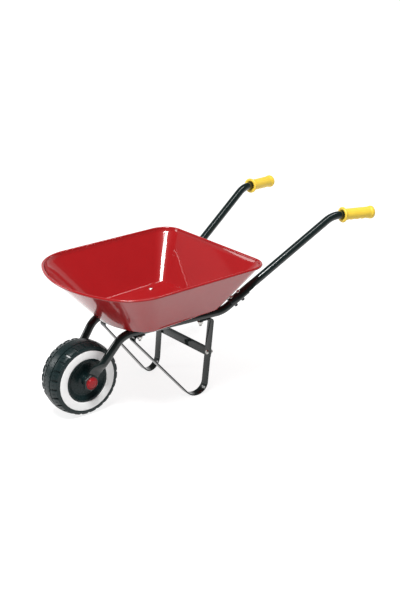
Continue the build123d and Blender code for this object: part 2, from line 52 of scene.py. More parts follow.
scene = bpy.context.scene
MM = 0.001

axle_low, axle_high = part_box("axle_rod")
AXLE = (axle_low + axle_high) / 2 / MM

# wheel
WHEEL_RADIUS = 84.96
TREAD_PITCHES = 24
TREAD_PHASE = math.radians(-3.4)
TREAD_EDGE = 27.5
CROWN_HALF_WIDTH = 24.0
CROWN_DROP = 4.4
RIB_HALF_WIDTH = 9.4
GROOVE_WIDTH = 2.2
GROOVE_DEPTH = 2.6
GROOVE_SWAY = 0.35
NOTCH_INNER = 17.4
NOTCH_DEPTH = 4.6
NOTCH_START_DEPTH = 2.2
NOTCH = (0.385, 0.615)
SLOT = (0.46, 0.54)
SLOT_DEPTH = 1.5
RIB_CUTS = ((0.24, 0.28), (0.72, 0.76))
RIB_CUT_INNER = 4.2
RIB_CUT_DEPTH = 1.0
BLOCK_GAP = 0.05
BLOCK_GAP_OUTER = 23.4
BLOCK_GAP_DEPTH = 1.1
WALL_TURN = 0.012
SLOT_SLANT = math.radians(1.7)
TYRE_HALF_WIDTH = 32.2
TYRE_BORE = 50.0
WHITE_RING = (51.2, 70.2)
WHITE_RING_DEPTH = 2.0
SIDEWALL_FACE = 31.8
GROOVE_WALL = 0.22
COVER_BACK = 40.4
CAP_SEAT = 48.4

# side frames
FRAME_OFFSET = 43.6
SPLAY = math.atan(0.191)
TUBE_RADIUS = 9.5
FORK_TAB_MIDDLE = 38.9
FORK_TAB_HALF_WIDTH = 14.0
FORK_TAB_HALF_THICKNESS = 1.5
FORK_TAB_END = 22.0
FORK_ROUND_START = 52.0
FRONT_BEND = (-77.0, 183.8, 50.0)
REAR_BEND = (-321.2, 197.7, 60.0)
HANDLE_BEND = (-606.0, 386.2, 60.0)
GRIP_END = (-719.0, 381.2)
TUBE_PAST_BEND = 75.0
CRIMP_INNER = 9.55
CRIMP_OUTER = 12.55
CRIMP_START = 25.0
CRIMP_END = 84.0
CRIMP_TAPER = 20.0
GRIP_LENGTH = 88.0

# legs and brace
LEG_FRONT_X = -94.6
LEG_REAR_X = -296.6
LEG_FOOT_X = -276.7
LEG_TOP_BEND = 8.0
LEG_FOOT_BEND = 29.0
LEG_TAB = 34.0
LEG_INSET = 5.0
STRIP_HALF_WIDTH = 10.0
STRIP_HALF_THICKNESS = 1.5
BRACE_HEIGHT = 99.5
BRACE_HALF_HEIGHT = 11
BRACE_CORNER = 3.0
BRACE_THICKNESS = 3.0
BRACE_SHORT_OF_LEG = 2
BRACE_EDGE = ((0.7, 0.0), (0.2, 0.2), (0.0, 0.7), (0.0, 2.3), (0.2, 2.8), (0.7, BRACE_THICKNESS))

# tray
SHEET = 1.2
FLOOR_SHAPE = (-71.6, -313.5, 113.0, 170.0, 50.0, 24.0)
RIM_SHAPE = (39.8, -387.1, 187.5, 275.0, 102.0, 45.0)
RIM_HEIGHTS = (306.0, 317.5)
FLOOR_EDGE_RADIUS = 14.0
BEAD_RADIUS = 3.0
WALL_INSIDE_BEAD = 1.0

# fasteners: bolts and bores by their radius
TRAY_BOLT_XS = (-116.4, -265.1)
HANDLE_BOLT_PLACES = (35.0, 56.0)
LARGE_BOLT = 3.0
SMALL_BOLT = 2.5
LARGE_NUT_THICKNESS = 5.0
SMALL_NUT_THICKNESS = 4.0
WASHER_THICKNESS = 1.2
BOLT_SUNK = 0.3
LEG_TAB_THICKNESS = 3.0

RAIL_TILT = math.atan2(REAR_BEND[1] - FRONT_BEND[1], FRONT_BEND[0] - REAR_BEND[0])
FLOOR_NORMAL = Vector((math.sin(RAIL_TILT), 0, math.cos(RAIL_TILT)))


# ---------------------------------------------------------------- mesh work


def lerp(a, b, share):
    """The value a share of the way from a to b."""
    return a + (b - a) * share


def ease(share):
    """A share that starts and ends gently."""
    share = min(max(share, 0.0), 1.0)
    return share * share * (3 - 2 * share)


def set_shading(mesh, crease_degrees):
    """Merge doubles, point the faces outwards, shade smooth and keep real creases crisp."""
    work = bmesh.new()
    work.from_mesh(mesh)
    bmesh.ops.remove_doubles(work, verts=work.verts, dist=0.000002)
    bmesh.ops.dissolve_degenerate(work, edges=work.edges, dist=0.000001)
    bmesh.ops.recalc_face_normals(work, faces=work.faces)
    crease = math.radians(crease_degrees)
    for face in work.faces:
        face.smooth = True
    for edge in work.edges:
        edge.smooth = not edge.is_manifold or edge.calc_face_angle(0.0) < crease
    work.to_mesh(mesh)
    work.free()
    mesh.update()


def make_piece(name, points, faces, finish, crease_degrees=38):
    """A finished mesh object from points in millimetres."""
    mesh = bpy.data.meshes.new(name)
    mesh.from_pydata([Vector(p) * MM for p in points], [], faces)
    mesh.materials.append(finish)
    set_shading(mesh, crease_degrees)
    piece = bpy.data.objects.new(name, mesh)
    scene.collection.objects.link(piece)
    return piece


def loft(rings, closed_ring=True, capped=True, looped=False):
    """Points and faces of a skin over rings that all have the same number of points."""
    count = len(rings[0])
    points = [p for ring in rings for p in ring]
    faces = []
    spans = len(rings) if looped else len(rings) - 1
    around = count if closed_ring else count - 1
    for i in range(spans):
        a = i * count
        b = (i + 1) % len(rings) * count
        for j in range(around):
            k = (j + 1) % count
            faces.append((a + j, a + k, b + k, b + j))
    if capped and not looped:
        faces.append(tuple(reversed(range(count))))
        faces.append(tuple(range(len(points) - count, len(points))))
    return points, faces


def mirrored(points):
    """The same points on the right-hand side."""
    return [(p[0], -p[1], p[2]) for p in points]


def both_sides(stem, points, faces, finish, crease_degrees=38):
    """A left piece and its mirror image."""
    left = make_piece(stem + "_left", points, faces, finish, crease_degrees)
    right = make_piece(stem + "_right", mirrored(points), faces, finish, crease_degrees)
    return left, right


def rounded_outline(corners, radii, steps=5):
    """A flat outline or line of (x, y) corners with each corner rounded; a radius of 0 keeps it."""
    result = []
    count = len(corners)
    for i, corner in enumerate(corners):
        here = Vector(corner)
        radius = radii[i] if hasattr(radii, "__len__") else radii
        before = Vector(corners[i - 1]) - here
        after = Vector(corners[(i + 1) % count]) - here
        if radius <= 0:
            result.append(here)
            continue
        result.extend(corner_arc(here, before, after, radius, steps))
    return result


def corner_arc(here, before, after, radius, steps):
    """Points of the arc that rounds one corner, from the side before it to the side after it."""
    before = before.normalized()
    after = after.normalized()
    half = before.angle(after) / 2
    centre = here + (before + after).normalized() * (radius / math.sin(half))
    start = here + before * (radius / math.tan(half)) - centre
    end = here + after * (radius / math.tan(half)) - centre
    turn = start.angle(end)
    arc = []
    for i in range(steps + 1):
        share = i / steps
        swing = start * math.sin((1 - share) * turn) + end * math.sin(share * turn)
        arc.append(centre + swing / math.sin(turn))
    return arc


def bent_line(corners, radii, straight_step, arc_steps):
    """Points of an open line with rounded bends, no further apart on a straight than the step."""
    result = [Vector(corners[0])]
    for i in range(1, len(corners) - 1):
        here = Vector(corners[i])
        before = Vector(corners[i - 1]) - here
        after = Vector(corners[i + 1]) - here
        result.extend(corner_arc(here, before, after, radii[i - 1], arc_steps))
    result.append(Vector(corners[-1]))
    fine = [result[0]]
    for point in result[1:]:
        gap = (point - fine[-1]).length
        parts = max(1, round(gap / straight_step))
        start = fine[-1]
        fine.extend(lerp(start, point, (k + 1) / parts) for k in range(parts))
    return fine


def turns(count):
    """The evenly spaced angles of a full circle."""
    return [2 * math.pi * i / count for i in range(count)]


def turned(profile, steps):
    """A closed (radius, y) profile spun about the axle."""
    rings = []
    for angle in turns(steps):
        sine, cosine = math.sin(angle), math.cos(angle)
        rings.append([(AXLE.x + r * cosine, y, AXLE.z + r * sine) for r, y in profile])
    return loft(rings, looped=True)


def turned_upright(profile, steps):
    """A closed (radius, z) profile spun about the Z axis at the origin."""
    rings = []
    for angle in turns(steps):
        rings.append([(r * math.cos(angle), r * math.sin(angle), z) for r, z in profile])
    return loft(rings, looped=True)


# ---------------------------------------------------------------- finishes


def node_group(name, inputs, outputs):
    """An empty shader group with named sockets. Each input is (name, kind, default)."""
    group = bpy.data.node_groups.new(name, "ShaderNodeTree")
    for label, kind, default in inputs:
        socket = group.interface.new_socket(name=label, in_out="INPUT", socket_type="NodeSocket" + kind)
        socket.default_value = default
    for label, kind in outputs:
        group.interface.new_socket(name=label, in_out="OUTPUT", socket_type="NodeSocket" + kind)
    return group


def feed(tree, value, socket):
    """Give an input another node's output or a constant."""
    if hasattr(value, "is_output"):
        tree.links.new(value, socket)
    else:
        socket.default_value = value


def add_node(tree, kind, feeds=None, **settings):
    """A new node with its properties set and the inputs that feeds names fed."""
    node = tree.nodes.new(kind)
    for key, value in settings.items():
        setattr(node, key, value)
    for label, value in (feeds or {}).items():
        feed(tree, value, node.inputs[label])
    return node


def noise(tree, place, scale, detail, roughness=0.55, warp=0.0):
    """A noise texture read at a place."""
    feeds = {"Vector": place, "Scale": scale, "Detail": detail, "Roughness": roughness, "Distortion": warp}
    return add_node(tree, "ShaderNodeTexNoise", feeds).outputs["Fac"]


def sums(tree, kind, first, second=None, clamp=False):
    """A math node on sockets or numbers."""
    node = add_node(tree, "ShaderNodeMath", operation=kind, use_clamp=clamp)
    feed(tree, first, node.inputs[0])
    if second is not None:
        feed(tree, second, node.inputs[1])
    return node.outputs[0]


def spread(tree, value, from_low, from_high, to_low, to_high):
    """A value moved from one range to another and held inside it."""
    feeds = {"Value": value, "From Min": from_low, "From Max": from_high, "To Min": to_low, "To Max": to_high}
    return add_node(tree, "ShaderNodeMapRange", feeds).outputs["Result"]


def blend_colour(tree, share, first, second):
    """A mix of two colour sockets."""
    feeds = {"Factor": share, "A": first, "B": second}
    return add_node(tree, "ShaderNodeMix", feeds, data_type="RGBA").outputs["Result"]


def make_cast_grain():
    """Two-tone colour, uneven gloss and fine relief, as every moulded or coated surface has."""
    group = node_group(
        "cast_grain",
        [
            ("Colour", "Color", (0.5, 0.5, 0.5, 1)),
            ("Second colour", "Color", (0.4, 0.4, 0.4, 1)),
            ("Patch scale", "Float", 14.0),
            ("Grain scale", "Float", 900.0),
            ("Low roughness", "Float", 0.3),
            ("High roughness", "Float", 0.4),
        ],
        [("Colour", "Color"), ("Roughness", "Float"), ("Height", "Float")],
    )
    given = add_node(group, "NodeGroupInput").outputs
    out = add_node(group, "NodeGroupOutput").inputs
    place = add_node(group, "ShaderNodeTexCoord").outputs["Object"]
    patches = noise(group, place, given["Patch scale"], 3.0, 0.6)
    tone = spread(group, patches, 0.3, 0.7, 0.0, 1.0)
    grain = noise(group, place, given["Grain scale"], 2.0, 0.5)
    middle = noise(group, place, sums(group, "MULTIPLY", given["Patch scale"], 6.0), 4.0, 0.6)
    gloss = spread(group, middle, 0.3, 0.7, given["Low roughness"], given["High roughness"])
    group.links.new(blend_colour(group, tone, given["Colour"], given["Second colour"]), out["Colour"])
    group.links.new(gloss, out["Roughness"])
    group.links.new(sums(group, "ADD", grain, sums(group, "MULTIPLY", middle, 0.5)), out["Height"])
    return group


def make_handling_marks():
    """A mask of short hairline rubs and small specks left by handling."""
    group = node_group(
        "handling_marks",
        [("Scale", "Float", 60.0), ("Amount", "Float", 0.5)],
        [("Rubs", "Float"), ("Specks", "Float")],
    )
    given = add_node(group, "NodeGroupInput").outputs
    out = add_node(group, "NodeGroupOutput").inputs
    place = add_node(group, "ShaderNodeTexCoord").outputs["Object"]
    feeds = {"Vector": place, "Rotation": (0.3, 0.7, 0.4), "Scale": (1.0, 14.0, 14.0)}
    stretch = add_node(group, "ShaderNodeMapping", feeds)
    streaks = noise(group, stretch.outputs["Vector"], given["Scale"], 2.0, 0.5, 0.4)
    where = noise(group, place, sums(group, "MULTIPLY", given["Scale"], 0.25), 2.0)
    lines = spread(group, streaks, 0.66, 0.72, 0.0, 1.0)
    areas = spread(group, where, 0.5, 0.62, 0.0, 1.0)
    rubs = sums(group, "MULTIPLY", sums(group, "MULTIPLY", lines, areas), given["Amount"])
    dots = noise(group, place, sums(group, "MULTIPLY", given["Scale"], 9.0), 1.0)
    specks = sums(group, "MULTIPLY", spread(group, dots, 0.74, 0.78, 0.0, 1.0), given["Amount"])
    group.links.new(rubs, out["Rubs"])
    group.links.new(specks, out["Specks"])
    return group


CAST_GRAIN = make_cast_grain()
HANDLING_MARKS = make_handling_marks()


def make_finish(name, colours, scales, gloss, marks, rubbed, rub_roughness, relief, fixed=None):
    """A material whose colour, gloss and relief come from the two shared groups.

    colours, scales and gloss feed the grain group in pairs: the two tones, the patch and grain
    scales, the lowest and highest roughness. marks is the rubs' scale and amount, rubbed their
    colour and rub_roughness the roughness they add. relief is the bump's height in metres, and
    fixed holds the shader's own constants.
    """
    material = bpy.data.materials.new(name)
    material.use_nodes = True
    tree = material.node_tree
    tree.nodes.clear()
    shader = add_node(tree, "ShaderNodeBsdfPrincipled", fixed)
    add_node(tree, "ShaderNodeOutputMaterial", {"Surface": shader.outputs["BSDF"]})

    body = add_node(tree, "ShaderNodeGroup", node_tree=CAST_GRAIN)
    tones = [(*colour, 1) for colour in colours]
    for socket, value in zip(body.inputs, (*tones, *scales, *gloss)):
        socket.default_value = value
    wear = add_node(tree, "ShaderNodeGroup", node_tree=HANDLING_MARKS)
    for socket, value in zip(wear.inputs, marks):
        socket.default_value = value
    rubs, specks = wear.outputs
    rubbed_tone = add_node(tree, "ShaderNodeRGB")
    rubbed_tone.outputs[0].default_value = (*rubbed, 1)

    either = sums(tree, "MAXIMUM", rubs, specks)
    colour = blend_colour(tree, either, body.outputs["Colour"], rubbed_tone.outputs[0])
    added = sums(tree, "MULTIPLY", rubs, rub_roughness)
    rough = sums(tree, "ADD", body.outputs["Roughness"], added, clamp=True)
    height = sums(tree, "SUBTRACT", body.outputs["Height"], sums(tree, "MULTIPLY", rubs, RUB_DEPTH))
    bump = add_node(tree, "ShaderNodeBump", {"Strength": 1.0, "Distance": relief, "Height": height})
    tree.links.new(colour, shader.inputs["Base Color"])
    tree.links.new(rough, shader.inputs["Roughness"])
    tree.links.new(bump.outputs["Normal"], shader.inputs["Normal"])
    return material


RUB_DEPTH = 0.4
ENAMEL_GLOSS = {"Coat Weight": 1.0, "Coat Roughness": 0.05, "Specular IOR Level": 0.1}
TRAY_GLOSS = {"Coat Weight": 1.0, "Coat Roughness": 0.035, "Coat IOR": 1.5, "Specular IOR Level": 0.1}
SOFT_PLASTIC = {"Subsurface Weight": 0.12, "Subsurface Radius": (0.004, 0.003, 0.001)}

# gloss red powder coat with a faint orange peel
TRAY_ENAMEL = (
    "tray_red_enamel", ((0.33, 0.007, 0.009), (0.30, 0.006, 0.008)), (9.0, 260.0), (0.30, 0.38),
    (24.0, 0.05), (0.62, 0.10, 0.10), 0.1, 0.00001, TRAY_GLOSS,
)
# gloss black enamel with a cool cast, on the tubes and on the strips
FRAME_ENAMEL = (
    "frame_black_enamel", ((0.003, 0.009, 0.009), (0.005, 0.012, 0.012)), (20.0, 420.0), (0.26, 0.36),
    (30.0, 0.08), (0.10, 0.11, 0.11), 0.15, 0.000012, ENAMEL_GLOSS,
)
STRIP_ENAMEL = (
    "strip_black_enamel", ((0.004, 0.010, 0.010), (0.006, 0.014, 0.014)), (20.0, 420.0), (0.26, 0.36),
    (30.0, 0.08), (0.10, 0.11, 0.11), 0.15, 0.000012, ENAMEL_GLOSS,
)
# soft yellow moulded plastic with a pebbled skin
GRIP_YELLOW = (
    "grip_yellow_plastic", ((0.88, 0.62, 0.062), (0.84, 0.58, 0.054)), (34.0, 1500.0), (0.38, 0.5),
    (60.0, 0.10), (0.84, 0.58, 0.14), 0.1, 0.00008, SOFT_PLASTIC,
)
# satin moulded black rubber
TYRE_RUBBER = (
    "tyre_rubber", ((0.006, 0.016, 0.017), (0.010, 0.021, 0.022)), (26.0, 1100.0), (0.25, 0.35),
    (40.0, 0.12), (0.04, 0.045, 0.042), 0.1, 0.00005, {"Specular IOR Level": 0.32},
)
# satin moulded black plastic
HUB_PLASTIC = (
    "hub_black_plastic", ((0.005, 0.014, 0.015), (0.007, 0.018, 0.019)), (30.0, 1300.0), (0.24, 0.32),
    (45.0, 0.08), (0.07, 0.08, 0.08), 0.1, 0.00003, {"Specular IOR Level": 0.25},
)
# clean satin white vinyl with faint scuffs
WHITE_VINYL = (
    "white_sidewall", ((0.93, 0.935, 0.93), (0.91, 0.915, 0.91)), (22.0, 900.0), (0.38, 0.5),
    (50.0, 0.07), (0.62, 0.61, 0.59), 0.1, 0.00002,
)
# semi-gloss black plastic, on the hexagon covers and on the tube plugs
COVER_PLASTIC = (
    ((0.006, 0.012, 0.012), (0.010, 0.017, 0.017)), (60.0, 1500.0), (0.42, 0.52),
    (70.0, 0.10), (0.08, 0.08, 0.08), 0.1, 0.00002,
)
# gloss red plastic of the domed caps
CAP_PLASTIC = (
    "cap_red_plastic", ((0.36, 0.010, 0.016), (0.31, 0.008, 0.012)), (70.0, 1300.0), (0.26, 0.34),
    (70.0, 0.10), (0.70, 0.12, 0.12), 0.1, 0.00002, {"Specular IOR Level": 0.3},
)
# natural nylon of the wheel bushes
BUSH_NYLON = (
    "bush_nylon", ((0.70, 0.67, 0.58), (0.62, 0.59, 0.51)), (60.0, 1200.0), (0.35, 0.5),
    (80.0, 0.1), (0.3, 0.28, 0.25), 0.1, 0.00002,
)
# bright zinc plate with clouded passivation
ZINC_PLATE = (
    "bright_zinc", ((0.74, 0.73, 0.69), (0.60, 0.60, 0.58)), (120.0, 1500.0), (0.22, 0.42),
    (120.0, 0.3), (0.35, 0.34, 0.31), 0.2, 0.00002, {"Metallic": 1.0},
)
# black plated steel of the domed nuts
DARK_PLATE = (
    "dark_plated_steel", ((0.10, 0.10, 0.11), (0.06, 0.06, 0.065)), (120.0, 1500.0), (0.25, 0.4),
    (120.0, 0.3), (0.4, 0.38, 0.36), 0.2, 0.00002, {"Metallic": 0.8},
)

FINISH = {
    "tray_paint": make_finish(*TRAY_ENAMEL),
    "frame_paint": make_finish(*FRAME_ENAMEL),
    "strip_paint": make_finish(*STRIP_ENAMEL),
    "grip_plastic": make_finish(*GRIP_YELLOW),
    "tyre_rubber": make_finish(*TYRE_RUBBER),
    "hub_plastic": make_finish(*HUB_PLASTIC),
    "whitewall_plastic": make_finish(*WHITE_VINYL),
    "cover_plastic": make_finish("cover_black_plastic", *COVER_PLASTIC),
    "cap_plastic": make_finish(*CAP_PLASTIC),
    "bush_plastic": make_finish(*BUSH_NYLON),
    "plug_plastic": make_finish("plug_black_plastic", *COVER_PLASTIC),
    "zinc_steel": make_finish(*ZINC_PLATE),
    "dark_steel": make_finish(*DARK_PLATE),
}


def settle(piece, body, slot, *nodes):
    """Attach a finished piece to the body it rides on and hide the solids it stands for; slot is not used."""
    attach(piece, body)
    if nodes:
        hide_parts(*nodes)
    return piece


def settle_pair(pair, body, slot, stem):
    """Settle a left and a right piece that stand for the solids of that stem."""
    for piece, side in zip(pair, ("left", "right")):
        settle(piece, body, slot, stem + "_" + side)


# ---------------------------------------------------------------- side frames


def side_point(back, up, out=0.0):
    """A point of the left frame's upright plane: back along it from the axle, up, and outwards."""
    x = AXLE.x - back * math.cos(SPLAY) + out * math.sin(SPLAY)
    y = FRAME_OFFSET + back * math.sin(SPLAY) + out * math.cos(SPLAY)
    return Vector((x, y, up))


def side_way(back, up, out=0.0):
    """A direction of the left frame's upright plane."""
    return side_point(back, up, out) - side_point(0, 0)


def back_of(x):
    """How far back along the side plane the place with this x lies."""
    return -x / math.cos(SPLAY)


LOW = Vector((0, AXLE.z))
HIGH = Vector((back_of(FRONT_BEND[0]), FRONT_BEND[1]))
REAR = Vector((back_of(REAR_BEND[0]), REAR_BEND[1]))
TURN = Vector((back_of(HANDLE_BEND[0]), HANDLE_BEND[1]))
GRIP_TIP = Vector((back_of(GRIP_END[0]), GRIP_END[1]))
CRIMP_RISE = CRIMP_OUTER - TUBE_RADIUS
handle_run = TURN - REAR
handle_slope = math.atan2(handle_run.y, handle_run.x) - math.asin(CRIMP_RISE / handle_run.length)
HANDLE_WAY = Vector((math.cos(handle_slope), math.sin(handle_slope)))
HANDLE_UP = Vector((-HANDLE_WAY.y, HANDLE_WAY.x))
GRIP_WAY = (GRIP_TIP - TURN).normalized()
OUTWARDS = side_way(0, 0, 1)


def handle_place(distance, height=0.0):
    """A side-plane point on the frame tube's rising end."""
    return REAR + HANDLE_WAY * distance + HANDLE_UP * height


def oval(centre, thick_way, wide_way, half_thick, half_wide, squareness, count=48):
    """One section ring, from round (squareness 2) to nearly rectangular (8)."""
    ring = []
    for angle in turns(count):
        c, s = math.cos(angle), math.sin(angle)
        across = math.copysign(abs(c) ** (2 / squareness), c) * half_thick
        along = math.copysign(abs(s) ** (2 / squareness), s) * half_wide
        ring.append(centre + thick_way * across + wide_way * along)
    return ring


def line_directions(line):
    """The direction of travel at each point of a line."""
    ways = []
    for i in range(len(line)):
        ahead = line[min(i + 1, len(line) - 1)]
        behind = line[max(i - 1, 0)]
        ways.append((ahead - behind).normalized())
    return ways


def round_tube_rings(line, radius):
    """Rings round a side-plane line."""
    rings = []
    for point, way in zip(line, line_directions(line)):
        wide = side_way(-way.y, way.x)
        rings.append(oval(side_point(point.x, point.y), OUTWARDS, wide, radius, radius, 2))
    return rings


def frame_tube_rings():
    """The frame tube from the nose of its fork tab to its rear end."""
    along = (HIGH - LOW).normalized()
    lean = math.atan2(HIGH.y - LOW.y, -FRONT_BEND[0])
    tab_way = Vector((-math.cos(lean), 0, math.sin(lean)))
    tab_wide = Vector((math.sin(lean), 0, math.cos(lean)))
    tab_thick = Vector((0, 1, 0))
    hole = Vector((AXLE.x, FORK_TAB_MIDDLE, AXLE.z))
    rings = []
    for step in range(13):
        angle = math.radians(4 + 86 * step / 12)
        distance = -FORK_TAB_HALF_WIDTH * math.cos(angle)
        half = FORK_TAB_HALF_WIDTH * math.sin(angle)
        rings.append(oval(hole + tab_way * distance, tab_thick, tab_wide, FORK_TAB_HALF_THICKNESS, half, 7))
    for step in range(1, 3):
        distance = FORK_TAB_END * step / 2
        centre = hole + tab_way * distance
        rings.append(oval(centre, tab_thick, tab_wide, FORK_TAB_HALF_THICKNESS, FORK_TAB_HALF_WIDTH, 7))
    steps = 16
    for step in range(1, steps):
        share = step / steps
        swell = ease(share)
        distance = lerp(FORK_TAB_END, FORK_ROUND_START, share)
        flat_place = hole + tab_way * distance
        on_line = LOW + along * distance
        round_place = side_point(on_line.x, on_line.y)
        thick = lerp(tab_thick, OUTWARDS, swell).normalized()
        wide = lerp(tab_wide, side_way(-along.y, along.x), swell).normalized()
        half_thick = lerp(FORK_TAB_HALF_THICKNESS, TUBE_RADIUS, swell)
        half_wide = lerp(FORK_TAB_HALF_WIDTH, TUBE_RADIUS, swell)
        squareness = lerp(7, 2, ease(share * 1.6))
        centre = lerp(flat_place, round_place, swell)
        rings.append(oval(centre, thick, wide, half_thick, half_wide, squareness))
    corners = [LOW + along * FORK_ROUND_START, HIGH, REAR, handle_place(TUBE_PAST_BEND)]
    line = bent_line(corners, (FRONT_BEND[2], REAR_BEND[2]), 30.0, 18)
    return rings + round_tube_rings(line, TUBE_RADIUS)


def build_frame_tubes():
    """Both frame tubes."""
    points, faces = loft(frame_tube_rings())
    pair = both_sides("frame_tube_shell", points, faces, FINISH["frame_paint"], 50)
    settle_pair(pair, "barrow", "frame_paint", "frame_tube")


def crimp_ring(distance, outer_turn, bottom):
    """One ring of the handle's lower end: the arch over the frame tube, then its underside."""
    centre = handle_place(distance)
    up = side_way(HANDLE_UP.x, HANDLE_UP.y)
    middle = side_point(centre.x, centre.y)
    return [middle + OUTWARDS * a + up * b for a, b in outer_turn + bottom]


def build_handle_tubes():
    """Both handle tubes: crimped arch, pinched taper, round tube and the bend at the grip."""
    half = 24
    arch = []
    for i in range(half + 1):
        angle = math.pi * i / half
        arch.append((CRIMP_OUTER * math.cos(angle), CRIMP_OUTER * math.sin(angle)))
    nest = []
    flat = []
    for i in range(1, half):
        angle = math.pi * (1 - i / half)
        nest.append((CRIMP_INNER * math.cos(angle), CRIMP_INNER * math.sin(angle)))
        flat.append((CRIMP_OUTER * math.cos(angle) * 0.97, 0.3 * math.sin(angle)))
    round_arch = []
    round_bottom = []
    tilt = math.radians(20)
    for i in range(half + 1):
        angle = lerp(-tilt, math.pi + tilt, i / half)
        round_arch.append((TUBE_RADIUS * math.cos(angle), CRIMP_RISE + TUBE_RADIUS * math.sin(angle)))
    for i in range(1, half):
        angle = lerp(math.pi + tilt, 2 * math.pi - tilt, i / half)
        round_bottom.append((TUBE_RADIUS * math.cos(angle), CRIMP_RISE + TUBE_RADIUS * math.sin(angle)))
    rings = []
    shrink = 0.94
    rings.append(crimp_ring(CRIMP_START, [(a * shrink, b * shrink) for a, b in arch], nest))
    rings.append(crimp_ring(CRIMP_START + 0.7, arch, nest))
    rings.append(crimp_ring(lerp(CRIMP_START, CRIMP_END, 0.5), arch, nest))
    rings.append(crimp_ring(CRIMP_END, arch, nest))
    rings.append(crimp_ring(CRIMP_END, arch, flat))
    steps = 12
    for step in range(1, steps + 1):
        share = ease(step / steps)
        top = [(lerp(a[0], b[0], share), lerp(a[1], b[1], share)) for a, b in zip(arch, round_arch)]
        low = [(lerp(a[0], b[0], share), lerp(a[1], b[1], share)) for a, b in zip(flat, round_bottom)]
        rings.append(crimp_ring(CRIMP_END + CRIMP_TAPER * step / steps, top, low))
    start = handle_place(CRIMP_END + CRIMP_TAPER, CRIMP_RISE)
    corners = [start, TURN, GRIP_TIP - GRIP_WAY * 4]
    line = bent_line(corners, (HANDLE_BEND[2],), 40.0, 20)
    ways = line_directions(line)
    for point, way in list(zip(line, ways))[1:]:
        wide = side_way(-way.y, way.x)
        centre = side_point(point.x, point.y)
        ring = [
            centre + OUTWARDS * a + wide * (b - CRIMP_RISE)
            for a, b in round_arch + round_bottom
        ]
        rings.append(ring)
    points, faces = loft(rings)
    pair = both_sides("handle_tube_shell", points, faces, FINISH["frame_paint"], 50)
    settle_pair(pair, "barrow", "frame_paint", "handle_tube")


def build_grips():
    """Both grips: flange with a funnelled mouth, finger waves underneath and a rolled end."""
    length = GRIP_LENGTH
    outline = [
        (7.0, 9.5), (4.0, 9.9), (1.2, 11.4), (0.3, 12.6), (0.0, 13.6),
        (0.0, 16.4), (0.4, 17.6), (1.4, 18.4), (2.6, 18.5), (3.9, 18.2), (4.8, 17.2), (5.3, 15.9),
        (6.2, 14.9), (7.6, 14.2), (9.4, 13.9),
    ]
    body_steps = 34
    body_start, body_end = 11.5, length - 13.5
    for i in range(body_steps + 1):
        share = i / body_steps
        outline.append((lerp(body_start, body_end, share), lerp(13.7, 13.95, share)))
    outline += [
        (length - 12.4, 13.7), (length - 11.6, 13.8), (length - 10.4, 14.7), (length - 8.6, 15.3),
        (length - 6.0, 15.5), (length - 3.6, 15.3), (length - 1.8, 14.5), (length - 0.6, 13.0),
        (length - 0.1, 11.0), (length, 8.0), (length, 4.0), (length - 0.3, 1.6), (length - 0.3, 0.01),
        (length - 3.0, 0.01), (length - 3.0, 9.5),
    ]
    start = GRIP_TIP - GRIP_WAY * length
    along = side_way(GRIP_WAY.x, GRIP_WAY.y)
    up = side_way(-GRIP_WAY.y, GRIP_WAY.x)
    if up.z < 0:
        up = -up
    base = side_point(start.x, start.y)
    rings = []
    for distance, radius in outline:
        ring = []
        for angle in turns(64):
            below = max(0.0, -math.sin(angle)) ** 1.5
            wave = 0.5 + 0.5 * math.cos(2 * math.pi * (distance - body_start) / 15.5)
            inside = ease((distance - body_start) / 5) * ease((body_end - distance) / 5)
            cut = 1.25 * below * (1 - wave) * inside if radius > 12 else 0.0
            reach = radius - cut
            level = base + along * distance + OUTWARDS * (reach * math.cos(angle))
            ring.append(level + up * (reach * math.sin(angle)))
        rings.append(ring)
    points, faces = loft(rings, looped=True)
    pair = both_sides("grip_moulding", points, faces, FINISH["grip_plastic"], 60)
    settle_pair(pair, "barrow", "grip_plastic", "grip")


# ---------------------------------------------------------------- legs and brace


def rail_height(x):
    """Height of the frame tube's axis between its two bends."""
    share = (FRONT_BEND[0] - x) / (FRONT_BEND[0] - REAR_BEND[0])
    return lerp(FRONT_BEND[1], REAR_BEND[1], share)


def rail_point(x):
    """A point on the left frame tube's axis between its two bends."""
    return Vector((AXLE.x + x, FRAME_OFFSET - math.tan(SPLAY) * x, rail_height(x)))


def leg_corners():
    """Side-plane corners of the leg strip's middle line: front top, foot and rear top."""
    slope = math.atan2(REAR_BEND[1] - FRONT_BEND[1], back_of(REAR_BEND[0]) - back_of(FRONT_BEND[0]))
    drop = (TUBE_RADIUS + STRIP_HALF_THICKNESS) / math.cos(slope)
    front = Vector((back_of(LEG_FRONT_X), rail_height(LEG_FRONT_X) - drop))
    rear = Vector((back_of(LEG_REAR_X), rail_height(LEG_REAR_X) - drop))
    foot = Vector((back_of(LEG_FOOT_X), 0))
    for _ in range(20):
        to_front = (front - foot).normalized()
        to_rear = (rear - foot).normalized()
        middle = (to_front + to_rear).normalized()
        rise = middle.y * LEG_FOOT_BEND / math.sin(to_front.angle(to_rear) / 2)
        foot = Vector((foot.x, LEG_FOOT_BEND + STRIP_HALF_THICKNESS - rise))
    return front, foot, rear


def rectangle(half_x, half_y):
    """The corners of a rectangle about the origin, from its low right one round."""
    return [(half_x, -half_y), (half_x, half_y), (-half_x, half_y), (-half_x, -half_y)]


def strip_section(half_thick, half_wide, edge):
    """Corner-rounded section of steel strip as (thickness, width) places."""
    return rounded_outline(rectangle(half_thick, half_wide), edge, 4)


